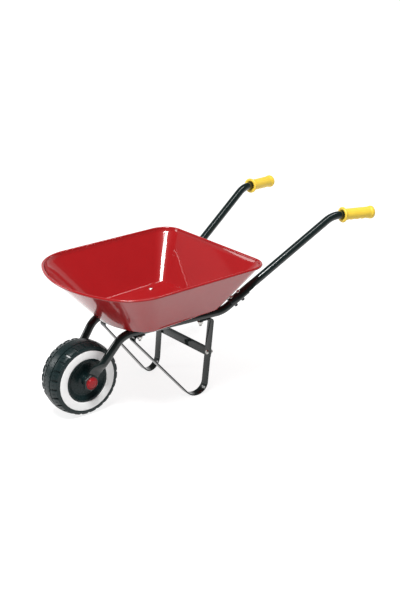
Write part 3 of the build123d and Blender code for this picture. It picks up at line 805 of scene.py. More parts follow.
def build_legs():
    """Both strip legs with their turned tabs."""
    front, foot, rear = leg_corners()
    rail_way = (rear - front).normalized()
    corners = [front + rail_way * LEG_TAB, front, foot, rear, rear - rail_way * LEG_TAB]
    line = bent_line(corners, (LEG_TOP_BEND, LEG_FOOT_BEND, LEG_TOP_BEND), 25.0, 14)
    section = strip_section(STRIP_HALF_THICKNESS, STRIP_HALF_WIDTH, 0.7)
    rings = []
    ways = line_directions(line)
    last = len(line) - 1
    for i, (point, way) in enumerate(zip(line, ways)):
        centre = side_point(point.x, point.y) - Vector((0, LEG_INSET, 0))
        thick = side_way(-way.y, way.x)
        pull = 0.93 if i in (0, last) else 1.0
        rings.append([centre + thick * a + Vector((0, b * pull, 0)) for a, b in section])
    points, faces = loft(rings)
    pair = both_sides("leg_strip", points, faces, FINISH["strip_paint"], 45)
    settle_pair(pair, "barrow", "strip_paint", "leg")


def brace_bolt_seat():
    """The left brace bolt's seat, the upright's normal there and the strip's depth along it."""
    _, foot, rear = leg_corners()
    rise = rear.y - foot.y
    back = (rear.x - foot.x) * math.cos(SPLAY)
    slant = math.hypot(back, rise)
    normal = Vector((rise / slant, 0, back / slant))
    depth = 2 * STRIP_HALF_THICKNESS * math.cos(SPLAY) * (rear - foot).length / slant
    x = LEG_FOOT_X - back * (BRACE_HEIGHT - foot.y) / rise
    y = FRAME_OFFSET - math.tan(SPLAY) * x - LEG_INSET
    return Vector((AXLE.x + x, y, BRACE_HEIGHT)) + normal * depth / 2, normal, depth


def build_brace():
    """The cross strip between the rear uprights, with rounded corners and eased edges."""
    seat, normal, depth = brace_bolt_seat()
    rear_face = seat - normal * depth
    up = Vector((-normal.z, 0, normal.x))
    half_length = seat.y + STRIP_HALF_WIDTH - BRACE_SHORT_OF_LEG
    corners = rectangle(half_length, BRACE_HALF_HEIGHT)
    rings = []
    for inset, back in BRACE_EDGE:
        pulled = [(math.copysign(abs(a) - inset, a), math.copysign(abs(b) - inset, b)) for a, b in corners]
        outline = rounded_outline(pulled, BRACE_CORNER - inset, 6)
        ring = []
        for a, b in outline:
            ring.append(Vector((rear_face.x, a, rear_face.z)) + up * b - normal * back)
        rings.append(ring)
    points, faces = loft(rings)
    piece = make_piece("cross_brace_strip", points, faces, FINISH["strip_paint"], 45)
    settle(piece, "barrow", "strip_paint", "cross_brace")


# ---------------------------------------------------------------- tray


def tub_outline(shape, inset):
    """Plan of the tub moved inwards: matched stations round the bow, corners, sides and back."""
    front, rear, half_width, bow_radius, front_corner, rear_corner = shape
    front, rear, half_width = front - inset, rear + inset, half_width - inset
    bow_radius, front_corner, rear_corner = bow_radius - inset, front_corner - inset, rear_corner - inset
    bow_centre = front - bow_radius
    reach = half_width - front_corner
    corner_x = bow_centre + math.sqrt((bow_radius - front_corner) ** 2 - reach**2)
    bow = math.atan2(reach, corner_x - bow_centre)
    half = []
    for i in range(25):
        angle = bow * i / 24
        half.append((bow_centre + bow_radius * math.cos(angle), bow_radius * math.sin(angle)))
    for i in range(1, 25):
        angle = lerp(bow, math.pi / 2, i / 24)
        half.append((corner_x + front_corner * math.cos(angle), reach + front_corner * math.sin(angle)))
    for i in range(1, 16):
        half.append((lerp(corner_x, rear + rear_corner, i / 16), half_width))
    for i in range(25):
        angle = math.pi / 2 * (1 + i / 24)
        centre_y = half_width - rear_corner
        across = centre_y + rear_corner * math.sin(angle)
        half.append((rear + rear_corner + rear_corner * math.cos(angle), across))
    for i in range(1, 13):
        half.append((rear, (half_width - rear_corner) * (1 - i / 12)))
    other = [(x, -y) for x, y in reversed(half[1:-1])]
    return half + other


def floor_places(inset, lift):
    """The floor outline's stations in the frame, moved inwards and up."""
    base = Vector((AXLE.x + FRONT_BEND[0], 0, FRONT_BEND[1])) + FLOOR_NORMAL * (TUBE_RADIUS + lift)
    forward = Vector((math.cos(RAIL_TILT), 0, -math.sin(RAIL_TILT)))
    shape = (FLOOR_SHAPE[0] - FRONT_BEND[0], FLOOR_SHAPE[1] - FRONT_BEND[0], *FLOOR_SHAPE[2:])
    return [base + forward * x + Vector((0, y, 0)) for x, y in tub_outline(shape, inset)]


def rim_places(inset):
    """The rim outline's stations in the frame."""
    tilt = math.atan2(RIM_HEIGHTS[1] - RIM_HEIGHTS[0], RIM_SHAPE[0] - RIM_SHAPE[1])
    base = Vector((AXLE.x + RIM_SHAPE[0], 0, RIM_HEIGHTS[0]))
    forward = Vector((math.cos(tilt), 0, -math.sin(tilt)))
    shape = (0.0, RIM_SHAPE[1] - RIM_SHAPE[0], *RIM_SHAPE[2:])
    return [base + forward * x + Vector((0, y, 0)) for x, y in tub_outline(shape, inset)]


def tray_station(floor_out, floor_in, rim_out, rim_in, bead, middle, rim_normal):
    """One cross-section of the tray, from the floor's middle over the rim and back underneath.

    floor_out and floor_in are each a foot and the direction in from it, bead is the bead's centre
    and a place inside it, and middle is the floor's underside and top at its centre.
    """
    section = []
    foot_in, toward_in = floor_in
    top_in = rim_in
    up_in = top_in - foot_in
    bead_centre, bead_inside = bead
    centre_low, centre_high = middle
    inner_arc = corner_arc(foot_in, toward_in, up_in, FLOOR_EDGE_RADIUS - SHEET, 8)
    for share in (0.08, 0.3, 0.55, 0.78, 0.93):
        section.append(lerp(centre_high, inner_arc[0], share))
    section.extend(inner_arc)
    outward = (bead_centre - bead_inside).normalized()
    wall_in = up_in.normalized()
    facing = wall_in.cross(rim_normal.cross(outward)).normalized()
    if facing.dot(outward) > 0:
        facing = -facing
    inner_gap = (top_in - bead_centre).dot(facing)
    foot_out, toward_out = floor_out
    up_out = rim_out - foot_out
    outer_gap = (rim_out - bead_centre).dot(facing)
    lean = math.atan2(facing.dot(rim_normal), facing.dot(outward))
    start = lean + math.acos(min(1, inner_gap / BEAD_RADIUS))
    end = lean + math.acos(min(1, outer_gap / BEAD_RADIUS)) - 2 * math.pi
    roll = []
    for i in range(25):
        angle = lerp(start, end, i / 24)
        level = bead_centre + outward * (BEAD_RADIUS * math.cos(angle))
        roll.append(level + rim_normal * (BEAD_RADIUS * math.sin(angle)))
    wall_start = inner_arc[-1]
    for i in range(1, 13):
        section.append(lerp(wall_start, roll[0], i / 13))
    section.extend(roll)
    outer_arc = corner_arc(foot_out, toward_out, up_out, FLOOR_EDGE_RADIUS, 8)
    for i in range(1, 13):
        section.append(lerp(roll[-1], outer_arc[-1], i / 13))
    section.extend(reversed(outer_arc))
    for share in (0.93, 0.6, 0.3, 0.08):
        section.append(lerp(centre_low, outer_arc[0], share))
    return section


def build_tray():
    """The pressed tray with its rounded floor edge and rolled rim."""
    wall_rise = RIM_HEIGHTS[1] - REAR_BEND[1] - TUBE_RADIUS
    side_inset = SHEET / math.cos(math.atan2(RIM_SHAPE[2] - FLOOR_SHAPE[2], wall_rise))
    tilt = math.atan2(RIM_HEIGHTS[1] - RIM_HEIGHTS[0], RIM_SHAPE[0] - RIM_SHAPE[1])
    rim_normal = Vector((math.sin(tilt), 0, math.cos(tilt)))
    outer_floor = floor_places(0, 0)
    outer_floor_inside = floor_places(1, 0)
    inner_floor = floor_places(side_inset, SHEET)
    inner_floor_inside = floor_places(side_inset + 1, SHEET)
    rim_outer = rim_places(WALL_INSIDE_BEAD)
    rim_inner = rim_places(WALL_INSIDE_BEAD + side_inset)
    bead_line = rim_places(0)
    bead_inside = rim_places(1)
    count = len(bead_line)
    centre_low = sum(outer_floor, Vector()) / count
    middle = (centre_low, centre_low + FLOOR_NORMAL * SHEET)
    rings = []
    for i in range(count):
        rings.append(
            tray_station(
                (outer_floor[i], outer_floor_inside[i] - outer_floor[i]),
                (inner_floor[i], inner_floor_inside[i] - inner_floor[i]),
                rim_outer[i],
                rim_inner[i],
                (bead_line[i], bead_inside[i]),
                middle,
                rim_normal,
            )
        )
    points, faces = loft(rings, closed_ring=False, looped=True, capped=False)
    size = len(rings[0])
    faces.append(tuple(i * size for i in range(count)))
    faces.append(tuple(i * size + size - 1 for i in range(count)))
    tray = make_piece("tray_pressing", points, faces, FINISH["tray_paint"], 60)
    settle(tray, "barrow", "tray_paint", "tray")


# ---------------------------------------------------------------- wheel


def crown_radius(y):
    """The tread's radius before grooves."""
    return WHEEL_RADIUS - CROWN_DROP * (abs(y) / CROWN_HALF_WIDTH) ** 2.4


def tread_rows():
    """Places across the tread, doubled at each wall of a groove or slot."""
    groove_outer = RIB_HALF_WIDTH + GROOVE_WIDTH
    walls = [RIB_CUT_INNER, RIB_HALF_WIDTH, groove_outer, NOTCH_INNER, BLOCK_GAP_OUTER]
    plain = [0.0, 2.2, 5.6, 7.4, groove_outer - GROOVE_WIDTH / 2, 13.2, 15.4, 19.6, 21.6, 25.4, TREAD_EDGE]
    half = sorted(plain + [w - GROOVE_WALL for w in walls] + [w + GROOVE_WALL for w in walls])
    return [-y for y in reversed(half[1:])] + half


def tread_columns():
    """Shares of one pitch, doubled at each wall of a slot."""
    walls = [*NOTCH, *SLOT, BLOCK_GAP, 1 - BLOCK_GAP, *RIB_CUTS[0], *RIB_CUTS[1]]
    places = {0.0, 1.0, 0.5}
    for w in walls:
        places.add(round(w - WALL_TURN, 4))
        places.add(round(w + WALL_TURN, 4))
    for k in range(1, 10):
        if min(abs(k / 10 - p) for p in places) > 0.03:
            places.add(k / 10)
    return sorted(places)


def groove_depth(across, turn):
    """How deep the tread is cut, this far from its middle and at this share of a pitch."""
    if RIB_HALF_WIDTH < across < RIB_HALF_WIDTH + GROOVE_WIDTH:
        return GROOVE_DEPTH
    if across > NOTCH_INNER and NOTCH[0] < turn < NOTCH[1]:
        return lerp(NOTCH_START_DEPTH, NOTCH_DEPTH, (across - NOTCH_INNER) / (TREAD_EDGE - NOTCH_INNER))
    if RIB_HALF_WIDTH + GROOVE_WIDTH < across < NOTCH_INNER and SLOT[0] < turn < SLOT[1]:
        return SLOT_DEPTH
    if RIB_CUT_INNER < across < RIB_HALF_WIDTH and any(low < turn < high for low, high in RIB_CUTS):
        return RIB_CUT_DEPTH
    if NOTCH_INNER < across < BLOCK_GAP_OUTER and not BLOCK_GAP < turn < 1 - BLOCK_GAP:
        return BLOCK_GAP_DEPTH
    return 0.0


def groove_sway(across, turn):
    """Sideways zigzag of the long grooves, in millimetres."""
    reach = 1 - min(1.0, abs(across - RIB_HALF_WIDTH - 1) / 5)
    return GROOVE_SWAY * reach * (abs((2 * turn) % 1 - 0.5) * 4 - 1)


def shoulder_profile():
    """(radius, y) places from the tread's left edge round the shoulder to the bore."""
    start = Vector((crown_radius(TREAD_EDGE), TREAD_EDGE))
    middle = Vector((79.4, 30.3))
    end = Vector((72.4, TYRE_HALF_WIDTH - 0.05))
    points = []
    for i in range(1, 9):
        share = i / 8
        bow = middle * 2 - (start + end) / 2
        points.append(start * (1 - share) ** 2 + bow * 2 * share * (1 - share) + end * share**2)
    seat = WHITE_RING[1]
    lip = [(71.3, TYRE_HALF_WIDTH - 0.2), (70.5, SIDEWALL_FACE - 0.2), (seat, SIDEWALL_FACE - 0.8)]
    points += [Vector(place) for place in lip]
    points += [Vector((radius, SIDEWALL_FACE - WHITE_RING_DEPTH)) for radius in (seat, 60.0, TYRE_BORE)]
    return points


def tread_sector():
    """One pitch of the tyre about the Y axis, as points and faces."""
    rows = tread_rows()
    shoulder = shoulder_profile()
    pitch = 2 * math.pi / TREAD_PITCHES
    rings = []
    for turn in tread_columns():
        notch = ease((turn - NOTCH[0] + 0.03) / 0.06) * ease((NOTCH[1] + 0.03 - turn) / 0.06)
        side = []
        for i, place in enumerate(shoulder):
            cut = NOTCH_DEPTH * notch * max(0.0, 1 - (i + 1) / 6)
            side.append((place.x - cut, place.y))
        ring = [(r, -y, TREAD_EDGE) for r, y in reversed(side)]
        for y in rows:
            across = abs(y)
            swayed = across + groove_sway(across, turn)
            radius = crown_radius(swayed) - groove_depth(across, turn)
            ring.append((radius, math.copysign(swayed, y) if y else 0.0, across))
        ring += [(r, y, TREAD_EDGE) for r, y in side]
        places = []
        for radius, y, across in ring:
            slant = SLOT_SLANT * ease((across - RIB_HALF_WIDTH) / (TREAD_EDGE - RIB_HALF_WIDTH))
            angle = pitch * (turn - 0.5) + TREAD_PHASE + slant
            places.append((radius * math.cos(angle), y, radius * math.sin(angle)))
        rings.append(places)
    return loft(rings, closed_ring=True, capped=False)


def new_tree(name, inputs):
    """An empty Geometry Nodes tree with named inputs and one geometry output."""
    tree = bpy.data.node_groups.new(name, "GeometryNodeTree")
    for label, kind in inputs.items():
        tree.interface.new_socket(name=label, in_out="INPUT", socket_type="NodeSocket" + kind)
    tree.interface.new_socket(name="Geometry", in_out="OUTPUT", socket_type="NodeSocketGeometry")
    return tree


def apply_tree(piece, tree, values):
    """Run a tree on a piece with named input values and keep the result as its plain mesh."""
    modifier = piece.modifiers.new(tree.name, "NODES")
    modifier.node_group = tree
    for item in tree.interface.items_tree:
        if item.item_type == "SOCKET" and item.in_out == "INPUT" and item.name in values:
            modifier[item.identifier] = values[item.name]
    bpy.context.view_layer.update()
    evaluated = piece.evaluated_get(bpy.context.evaluated_depsgraph_get())
    mesh = bpy.data.meshes.new_from_object(evaluated)
    piece.modifiers.clear()
    old = piece.data
    piece.data = mesh
    bpy.data.meshes.remove(old)
    mesh.name = piece.name
    return piece


def wheel_repeat_tree():
    """Repeats one sector round the axle, joins the seams and gives it its finish."""
    inputs = {"Sector": "Geometry", "Count": "Int", "Axle": "Vector", "Seam": "Float", "Finish": "Material"}
    tree = new_tree("repeat_round_axle", inputs)
    given = add_node(tree, "NodeGroupInput").outputs
    spots = add_node(tree, "GeometryNodePoints", {"Count": given["Count"]})
    index = add_node(tree, "GeometryNodeInputIndex").outputs[0]
    pitch = sums(tree, "DIVIDE", 2 * math.pi, given["Count"])
    turn = add_node(tree, "ShaderNodeCombineXYZ", {"Y": sums(tree, "MULTIPLY", index, pitch)})
    feeds = {"Points": spots.outputs[0], "Instance": given["Sector"], "Rotation": turn.outputs[0]}
    repeat = add_node(tree, "GeometryNodeInstanceOnPoints", feeds)
    real = add_node(tree, "GeometryNodeRealizeInstances", {"Geometry": repeat.outputs[0]})
    feeds = {"Geometry": real.outputs[0], "Distance": given["Seam"]}
    seam = add_node(tree, "GeometryNodeMergeByDistance", feeds)
    feeds = {"Geometry": seam.outputs[0], "Translation": given["Axle"]}
    move = add_node(tree, "GeometryNodeTransform", feeds)
    feeds = {"Geometry": move.outputs[0], "Material": given["Finish"]}
    finish = add_node(tree, "GeometryNodeSetMaterial", feeds)
    add_node(tree, "NodeGroupOutput", {"Geometry": finish.outputs[0]})
    return tree


def build_tyre():
    """The tyre: one cut pitch repeated round the axle."""
    points, faces = tread_sector()
    tyre = make_piece("tyre_tread", points, faces, FINISH["tyre_rubber"])
    values = {
        "Count": TREAD_PITCHES,
        "Axle": list(AXLE * MM),
        "Seam": 0.00001,
        "Finish": FINISH["tyre_rubber"],
    }
    apply_tree(tyre, wheel_repeat_tree(), values)
    set_shading(tyre.data, 32)
    settle(tyre, "wheel", "tyre_rubber", "tyre")


def build_white_rings():
    """The white sidewall rings, gently crowned with eased edges."""
    inner, outer = WHITE_RING
    section = [
        (inner, -WHITE_RING_DEPTH), (inner, -1.0), (inner + 0.3, -0.45), (inner + 1.0, -0.15),
        (inner + 4.0, 0.22), ((inner + outer) / 2, 0.4), (outer - 4.0, 0.3), (outer - 1.0, 0.05),
        (outer - 0.3, -0.2), (outer, -0.6), (outer, -WHITE_RING_DEPTH),
    ]
    profile = [(radius, SIDEWALL_FACE + height) for radius, height in section]
    points, faces = turned(profile, 128)
    pair = both_sides("white_ring", points, faces, FINISH["whitewall_plastic"], 50)
    settle_pair(pair, "wheel", "whitewall_plastic", "whitewall")


def build_hub_halves():
    """The moulded hub halves: rolled lip, cone, disc with a ring step and the boss."""
    corners = [
        (46.0, 0.0), (TYRE_BORE, 0.0), (TYRE_BORE, 30.5), (46.6, 30.5), (44.2, 27.0), (37.4, 21.6),
        (34.6, 21.6), (34.0, 21.0), (17.5, 22.3), (12.0, 24.6), (12.0, 33.5), (7.58, 33.5), (7.58, 0.0),
        (12.0, 0.0), (12.0, 18.0), (37.5, 18.0), (46.0, 21.5),
    ]
    radii = [0, 0, 1.2, 1.4, 2.2, 1.0, 0.4, 0.4, 3.0, 1.6, 0.8, 0.4, 0, 0, 0, 0, 0]
    profile = [(p.x, p.y) for p in rounded_outline(corners, radii, 4)]
    points, faces = turned(profile, 128)
    pair = both_sides("hub_moulding", points, faces, FINISH["hub_plastic"], 34)
    settle_pair(pair, "wheel", "hub_plastic", "hub_half")


def hexagon_ring(across_flats, y, corner):
    """A ring of a hexagon about the axle, corners up and down, with eased corners."""
    radius = across_flats / 2 / math.cos(math.pi / 6)
    corners = []
    for i in range(6):
        angle = math.pi / 2 + i * math.pi / 3
        corners.append((radius * math.cos(angle), radius * math.sin(angle)))
    return [(AXLE.x + p.x, y, AXLE.z + p.y) for p in rounded_outline(corners, corner, 4)]


def build_hexagon_covers():
    """The hexagon covers, moulded with eased edges and a shallow seat for the cap."""
    outside = [
        (32.6, 0.0, 1.6), (33.0, 0.4, 1.8), (33.0, 5.6, 1.8), (32.4, 6.6, 2.2),
        (31.0, 7.5, 2.8), (29.6, 7.9, 3.4), (28.6, 8.0, 4.0),
    ]
    rings = [hexagon_ring(flats, COVER_BACK + height, corner) for flats, height, corner in outside]
    count = len(rings[0])
    for radius, height in ((13.6, 8.0), (13.4, 7.7), (10.1, 7.7), (10.1, 0.0)):
        ring = []
        for i in range(count):
            p = rings[0][i]
            angle = math.atan2(p[2] - AXLE.z, p[0] - AXLE.x)
            x, z = radius * math.cos(angle), radius * math.sin(angle)
            ring.append((AXLE.x + x, COVER_BACK + height, AXLE.z + z))
        rings.append(ring)
    points, faces = loft(rings, looped=True)
    pair = both_sides("hexagon_cover", points, faces, FINISH["cover_plastic"], 30)
    settle_pair(pair, "barrow", "cover_plastic", "hex_cover")


def build_caps():
    """The domed caps: flange, low dome and a small moulded pip."""
    section = [
        (8.3, -1.7), (9.9, -1.7), (9.95, 0.0), (13.5, 0.0), (14.0, 0.2), (14.2, 0.7), (14.0, 1.2),
        (13.5, 1.4), (12.9, 1.3), (12.5, 0.9), (12.2, 0.5), (11.7, 0.4), (11.2, 0.6), (10.9, 1.4),
        (10.4, 2.4), (9.3, 3.2), (7.6, 3.75), (5.4, 4.0), (3.6, 4.0), (2.7, 3.9), (2.3, 4.1),
        (2.0, 4.5), (1.4, 4.72), (0.7, 4.78), (0.0, 4.8), (0.0, 1.4), (8.3, 1.4),
    ]
    profile = [(radius, CAP_SEAT + height) for radius, height in section]
    points, faces = turned(profile, 72)
    pair = both_sides("axle_cap", points, faces, FINISH["cap_plastic"], 40)
    settle_pair(pair, "barrow", "cap_plastic", "hub_cap")


# ---------------------------------------------------------------- fasteners


def fastener_tree():
    """Puts one fastener on every seat, turned to the seat's own direction."""
    inputs = {"Seats": "Geometry", "Fastener": "Object", "Finish": "Material"}
    tree = new_tree("fasteners_on_seats", inputs)
    given = add_node(tree, "NodeGroupInput").outputs
    shape = add_node(tree, "GeometryNodeObjectInfo", {"Object": given["Fastener"]})
    facing = add_node(tree, "GeometryNodeInputNamedAttribute", {"Name": "facing"}, data_type="FLOAT_VECTOR")
    feeds = {"Vector": facing.outputs["Attribute"]}
    aim = add_node(tree, "FunctionNodeAlignRotationToVector", feeds, axis="Z")
    turn = add_node(tree, "GeometryNodeInputNamedAttribute", {"Name": "turn"}, data_type="FLOAT")
    feeds = {"Axis": (0, 0, 1), "Angle": turn.outputs["Attribute"]}
    spin = add_node(tree, "FunctionNodeAxisAngleToRotation", feeds)
    feeds = {"Rotation": aim.outputs["Rotation"], "Rotate By": spin.outputs["Rotation"]}
    both = add_node(tree, "FunctionNodeRotateRotation", feeds, rotation_space="LOCAL")
    feeds = {
        "Points": given["Seats"],
        "Instance": shape.outputs["Geometry"],
        "Rotation": both.outputs["Rotation"],
    }
    place = add_node(tree, "GeometryNodeInstanceOnPoints", feeds)
    real = add_node(tree, "GeometryNodeRealizeInstances", {"Geometry": place.outputs[0]})
    feeds = {"Geometry": real.outputs[0], "Material": given["Finish"]}
    finish = add_node(tree, "GeometryNodeSetMaterial", feeds)
    add_node(tree, "NodeGroupOutput", {"Geometry": finish.outputs[0]})
    return tree


FASTENER_TREE = fastener_tree()


def place_fasteners(name, shape, seats, slot, node):
    """Copies of a fastener shape on left-hand (place, facing) seats and on their mirror images."""
    finish = FINISH[slot]
    pattern = make_piece(name + "_pattern", *shape, finish, 35)
    places = []
    facings = []
    for place, facing in seats:
        for side in (1, -1):
            places.append(Vector((place.x, place.y * side, place.z)) * MM)
            facings.append(Vector((facing.x, facing.y * side, facing.z)))
    mesh = bpy.data.meshes.new(name)
    mesh.from_pydata(places, [], [])
    mesh.attributes.new("facing", "FLOAT_VECTOR", "POINT")
    mesh.attributes.new("turn", "FLOAT", "POINT")
    for i, facing in enumerate(facings):
        mesh.attributes["facing"].data[i].vector = facing
        mesh.attributes["turn"].data[i].value = 0.7 * i
    piece = bpy.data.objects.new(name, mesh)
    scene.collection.objects.link(piece)
    apply_tree(piece, FASTENER_TREE, {"Fastener": pattern, "Finish": finish})
    set_shading(piece.data, 35)
    bpy.data.objects.remove(pattern)
    settle(piece, "barrow", slot, node)


def domed_bolt(head_radius, head_height, shank_radius, length, thread):
    """A cup-head bolt whose seat is z = 0, with thread ridges on its last stretch."""
    profile = [(0.0, -length), (shank_radius - 0.7, -length), (shank_radius - 0.1, -length + 0.7)]
    pitch = 1.0
    ridges = int(thread / pitch)
    for i in range(ridges):
        low = -length + 0.8 + i * pitch
        profile += [(shank_radius, low + 0.15), (shank_radius, low + 0.3), (shank_radius - 0.45, low + 0.65)]
    profile += [(shank_radius, -length + 1.0 + ridges * pitch), (shank_radius, 0.0)]
    edge = 0.25
    profile += [(head_radius - 0.2, 0.0), (head_radius, edge)]
    for i in range(1, 9):
        angle = i / 8 * math.pi / 2
        profile.append((head_radius * math.cos(angle) ** 0.8, edge + (head_height - edge) * math.sin(angle)))
    return turned_upright(profile, 36)


def hexagon_nut(across_flats, bore, thickness, domed=0.0):
    """A chamfered hexagon nut on z = 0; a domed one is closed by a low dome."""
    corner = across_flats / 2 / math.cos(math.pi / 6)
    steps = 36

    def ring(scale, z):
        result = []
        for angle in turns(steps):
            reach = across_flats / 2 / math.cos((angle + math.pi / 6) % (math.pi / 3) - math.pi / 6)
            reach = min(reach, corner * scale)
            result.append((reach * math.cos(angle), reach * math.sin(angle), z))
        return result

    def circle(radius, z):
        return [(radius * math.cos(angle), radius * math.sin(angle), z) for angle in turns(steps)]

    rings = [ring(0.9, 0.0), ring(1.0, 0.45), ring(1.0, thickness - 0.6), ring(0.88, thickness)]
    if domed:
        base = across_flats / 2
        rings.append(circle(base * 0.96, thickness + 0.1))
        for i in range(1, 7):
            angle = i / 6 * math.pi / 2
            height = thickness + 0.1 + (domed - 0.1) * math.sin(angle)
            rings.append(circle(base * 0.92 * math.cos(angle) + 0.001, height))
        return loft(rings)
    rings += [circle(bore + 0.6, thickness), circle(bore + 0.05, thickness - 0.4), circle(bore + 0.05, 0.0)]
    return loft(rings, looped=True)


def flat_washer(radius, bore, thickness):
    """A pressed washer on z = 0."""
    profile = [
        (bore, 0.0), (radius - 0.25, 0.0), (radius, 0.25), (radius, thickness - 0.3),
        (radius - 0.3, thickness), (bore, thickness),
    ]
    return turned_upright(profile, 40)


def build_fasteners():
    """Tray, handle and brace fasteners."""
    heads, washers, nuts = [], [], []
    down = -FLOOR_NORMAL
    for x in TRAY_BOLT_XS:
        middle = rail_point(x)
        washer_seat = middle + down * (TUBE_RADIUS + LEG_TAB_THICKNESS)
        heads.append((middle + FLOOR_NORMAL * (TUBE_RADIUS + SHEET - BOLT_SUNK), FLOOR_NORMAL))
        washers.append((washer_seat, down))
        nuts.append((washer_seat + down * WASHER_THICKNESS, down))
    grip = TUBE_RADIUS * 2 + SHEET - BOLT_SUNK + LEG_TAB_THICKNESS + WASHER_THICKNESS
    large_nut = hexagon_nut(10.0, LARGE_BOLT, LARGE_NUT_THICKNESS)
    bolt = domed_bolt(5.4, 3.0, LARGE_BOLT, grip + LARGE_NUT_THICKNESS + 5.0, 12)
    washer = flat_washer(7.0, LARGE_BOLT + 0.02, WASHER_THICKNESS)
    place_fasteners("tray_bolt_set", bolt, heads, "zinc_steel", "tray_bolts")
    place_fasteners("tray_washer_set", washer, washers, "zinc_steel", "tray_washers")
    place_fasteners("tray_nut_set", large_nut, nuts, "zinc_steel", "tray_nuts")

    up = side_way(HANDLE_UP.x, HANDLE_UP.y)
    heads, nuts = [], []
    for distance in HANDLE_BOLT_PLACES:
        top = handle_place(distance, CRIMP_OUTER)
        low = handle_place(distance, -TUBE_RADIUS)
        heads.append((side_point(top.x, top.y), up))
        nuts.append((side_point(low.x, low.y), -up))
    bolt = domed_bolt(5.0, 3.0, SMALL_BOLT, CRIMP_OUTER + TUBE_RADIUS + SMALL_NUT_THICKNESS, 6)
    small_nut = hexagon_nut(8.0, SMALL_BOLT, SMALL_NUT_THICKNESS, domed=2.0)
    place_fasteners("handle_bolt_set", bolt, heads, "zinc_steel", "handle_bolts")
    place_fasteners("handle_nut_set", small_nut, nuts, "dark_steel", "handle_nuts")

    seat, normal, depth = brace_bolt_seat()
    back = seat - normal * (depth + BRACE_THICKNESS)
    bolt = domed_bolt(5.4, 3.0, LARGE_BOLT, depth + BRACE_THICKNESS + LARGE_NUT_THICKNESS + 4.0, 9)
    place_fasteners("brace_bolt_set", bolt, [(seat, normal)], "zinc_steel", "brace_bolts")
    place_fasteners("brace_nut_set", large_nut, [(back, -normal)], "zinc_steel", "brace_nuts")


def finish_kept_nodes():
    """Give the solids that stay visible their own finishes."""
    slots = {part["node"]: part["material_slot"] for part in frame["record"]["subparts"]}
    for name, node in frame["nodes"].items():
        for slot in node.material_slots:
            slot.material = FINISH[slots[name]]


# ---------------------------------------------------------------- stage

# Glow strengths of the paper: as seen, as cast on the barrow near and far, and behind the barrow.
PAPER_SEEN_GLOW = (0.84, 1.0)
PAPER_CAST_GLOW = (0.58, 0.10)
PAPER_BACKDROP_GLOW = 0.8
BACKDROP_WAY = (-0.626, -0.780)
FLOOR_EDGE = 6.0
SWEEP_BEND = 2.5


def paper_finish():
    """Matt pale paper, lit from below like a light table, that dims above the horizon."""
    material = bpy.data.materials.new("pale_paper")
    material.use_nodes = True
    tree = material.node_tree
    shader = tree.nodes["Principled BSDF"]
    matt = {"Base Color": (0.35, 0.35, 0.35, 1), "Roughness": 0.9, "Specular IOR Level": 0.1}
    for label, value in {**matt, "Emission Color": (1, 1, 1, 1)}.items():
        shader.inputs[label].default_value = value
    place = add_node(tree, "ShaderNodeTexCoord").outputs["Object"]
    x, y, z = add_node(tree, "ShaderNodeSeparateXYZ", {"Vector": place}).outputs
    squares = [sums(tree, "MULTIPLY", part, part) for part in (x, y)]
    away = sums(tree, "SQRT", sums(tree, "ADD", *squares))
    seen = spread(tree, away, 0.7, 3.0, *PAPER_SEEN_GLOW)
    near = spread(tree, away, 0.8, 1.8, *PAPER_CAST_GLOW)
    parts = [sums(tree, "MULTIPLY", part, share) for part, share in zip((x, y), BACKDROP_WAY)]
    towards_backdrop = sums(tree, "DIVIDE", sums(tree, "ADD", *parts), away)
    far = spread(tree, towards_backdrop, 0.0, 0.6, PAPER_CAST_GLOW[1], PAPER_BACKDROP_GLOW)
    cast = sums(tree, "MAXIMUM", near, far)
    from_camera = add_node(tree, "ShaderNodeLightPath").outputs["Is Camera Ray"]
    mix = add_node(tree, "ShaderNodeMix", {"Factor": from_camera, "A": cast, "B": seen})
    fade = spread(tree, z, 1.3, 3.0, 1.0, 0.5)
    tree.links.new(sums(tree, "MULTIPLY", mix.outputs["Result"], fade), shader.inputs["Emission Strength"])
    return material


def build_stage():
    """A round pale sweep: flat floor whose far edge curves up all the way round."""
    profile = [(radius, 0.0) for radius in (0.02, 1.5, 3.5, FLOOR_EDGE)]
    for i in range(1, 13):
        angle = math.pi / 2 * i / 12
        profile.append((FLOOR_EDGE + SWEEP_BEND * math.sin(angle), SWEEP_BEND * (1 - math.cos(angle))))
    profile.append((FLOOR_EDGE + SWEEP_BEND, SWEEP_BEND + 2.0))
    steps = 96
    rings = []
    for angle in turns(steps):
        rings.append([Vector((r * math.cos(angle), r * math.sin(angle), z)) / MM for r, z in profile])
    points, faces = loft(rings, closed_ring=False, looped=True, capped=False)
    size = len(profile)
    faces.append(tuple(i * size for i in range(steps)))
    sweep = make_piece("pale_sweep", points, faces, paper_finish(), 60)


def area_light(name, azimuth, elevation, distance, size, power, aim=(0.0, 0.0, 0.22)):
    """A softbox that faces the barrow. Azimuth and elevation are degrees, lengths metres, power watts."""
    data = bpy.data.lights.new(name, "AREA")
    data.shape = "RECTANGLE"
    data.size, data.size_y = size
    data.energy = power
    lamp = bpy.data.objects.new(name, data)
    lamp.visible_camera = False
    scene.collection.objects.link(lamp)
    turn, lift = math.radians(azimuth), math.radians(elevation)
    way = Vector((math.cos(lift) * math.cos(turn), math.cos(lift) * math.sin(turn), math.sin(lift)))
    lamp.location = Vector(aim) + way * distance
    lamp.rotation_euler = (-way).to_track_quat("-Z", "Y").to_euler()
    return lamp


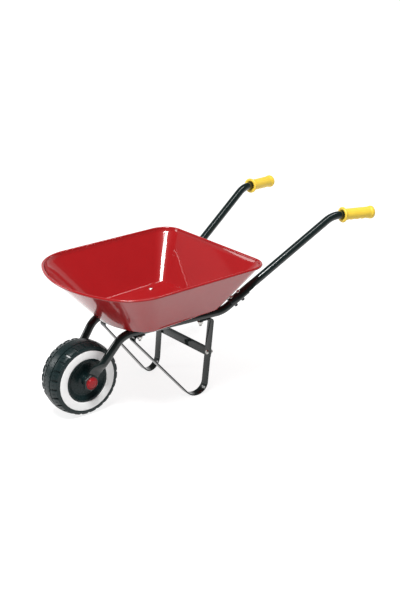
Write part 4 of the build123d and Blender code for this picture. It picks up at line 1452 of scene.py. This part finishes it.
def build_lights():
    """The key softbox, a small card for the wheel, an overhead strip and a pale surround."""
    area_light("key_softbox", 30, 60, 3.0, (1.0, 0.75), 112)
    area_light("front_card", -50, 25, 1.1, (0.40, 0.40), 2.6, aim=(0.32, 0.0, 0.10))
    strip = area_light("overhead_strip", 124, 77.4, 2.67, (2.24, 0.3), 25)
    strip.rotation_euler = (0.0, 0.0, math.radians(11.3))
    world = bpy.data.worlds.new("pale_surround")
    world.use_nodes = True
    background = world.node_tree.nodes["Background"]
    background.inputs["Color"].default_value = (1.0, 1.0, 1.0, 1)
    background.inputs["Strength"].default_value = 0.10
    scene.world = world


# the lens in millimetres; heading, downward tilt and roll in degrees; place from the axle's foot
CAMERA_LENS = 65.758
CAMERA_ANGLES = (231.2046, 20.8308, 0.6305)
CAMERA_FROM_AXLE = (1180.25, 1891.11, 1110.97)


def build_camera():
    """The camera at the front left, a little above the handles."""
    data = bpy.data.cameras.new("view")
    data.sensor_width = 36.0
    data.lens = CAMERA_LENS
    data.clip_end = 50.0
    camera = bpy.data.objects.new("view", data)
    scene.collection.objects.link(camera)
    turn, drop, roll = (math.radians(angle) for angle in CAMERA_ANGLES)
    ahead = Vector((math.cos(drop) * math.cos(turn), math.cos(drop) * math.sin(turn), -math.sin(drop)))
    level = ahead.cross(Vector((0, 0, 1))).normalized()
    upright = level.cross(ahead)
    right = level * math.cos(roll) + upright * math.sin(roll)
    up = upright * math.cos(roll) - level * math.sin(roll)
    matrix = camera.matrix_world.copy()
    place = Vector(CAMERA_FROM_AXLE) + Vector((AXLE.x, 0, 0))
    for row in range(3):
        matrix[row][0], matrix[row][1], matrix[row][2] = right[row], up[row], -ahead[row]
        matrix[row][3] = place[row] * MM
    camera.matrix_world = matrix
    scene.camera = camera


def main():
    """Build every piece, then the stage, lights and camera."""
    build_frame_tubes()
    build_handle_tubes()
    build_grips()
    build_legs()
    build_brace()
    build_tray()
    build_tyre()
    build_white_rings()
    build_hub_halves()
    build_hexagon_covers()
    build_caps()
    build_fasteners()
    finish_kept_nodes()
    build_stage()
    build_lights()
    build_camera()
    scene.view_settings.view_transform = "Standard"


main()
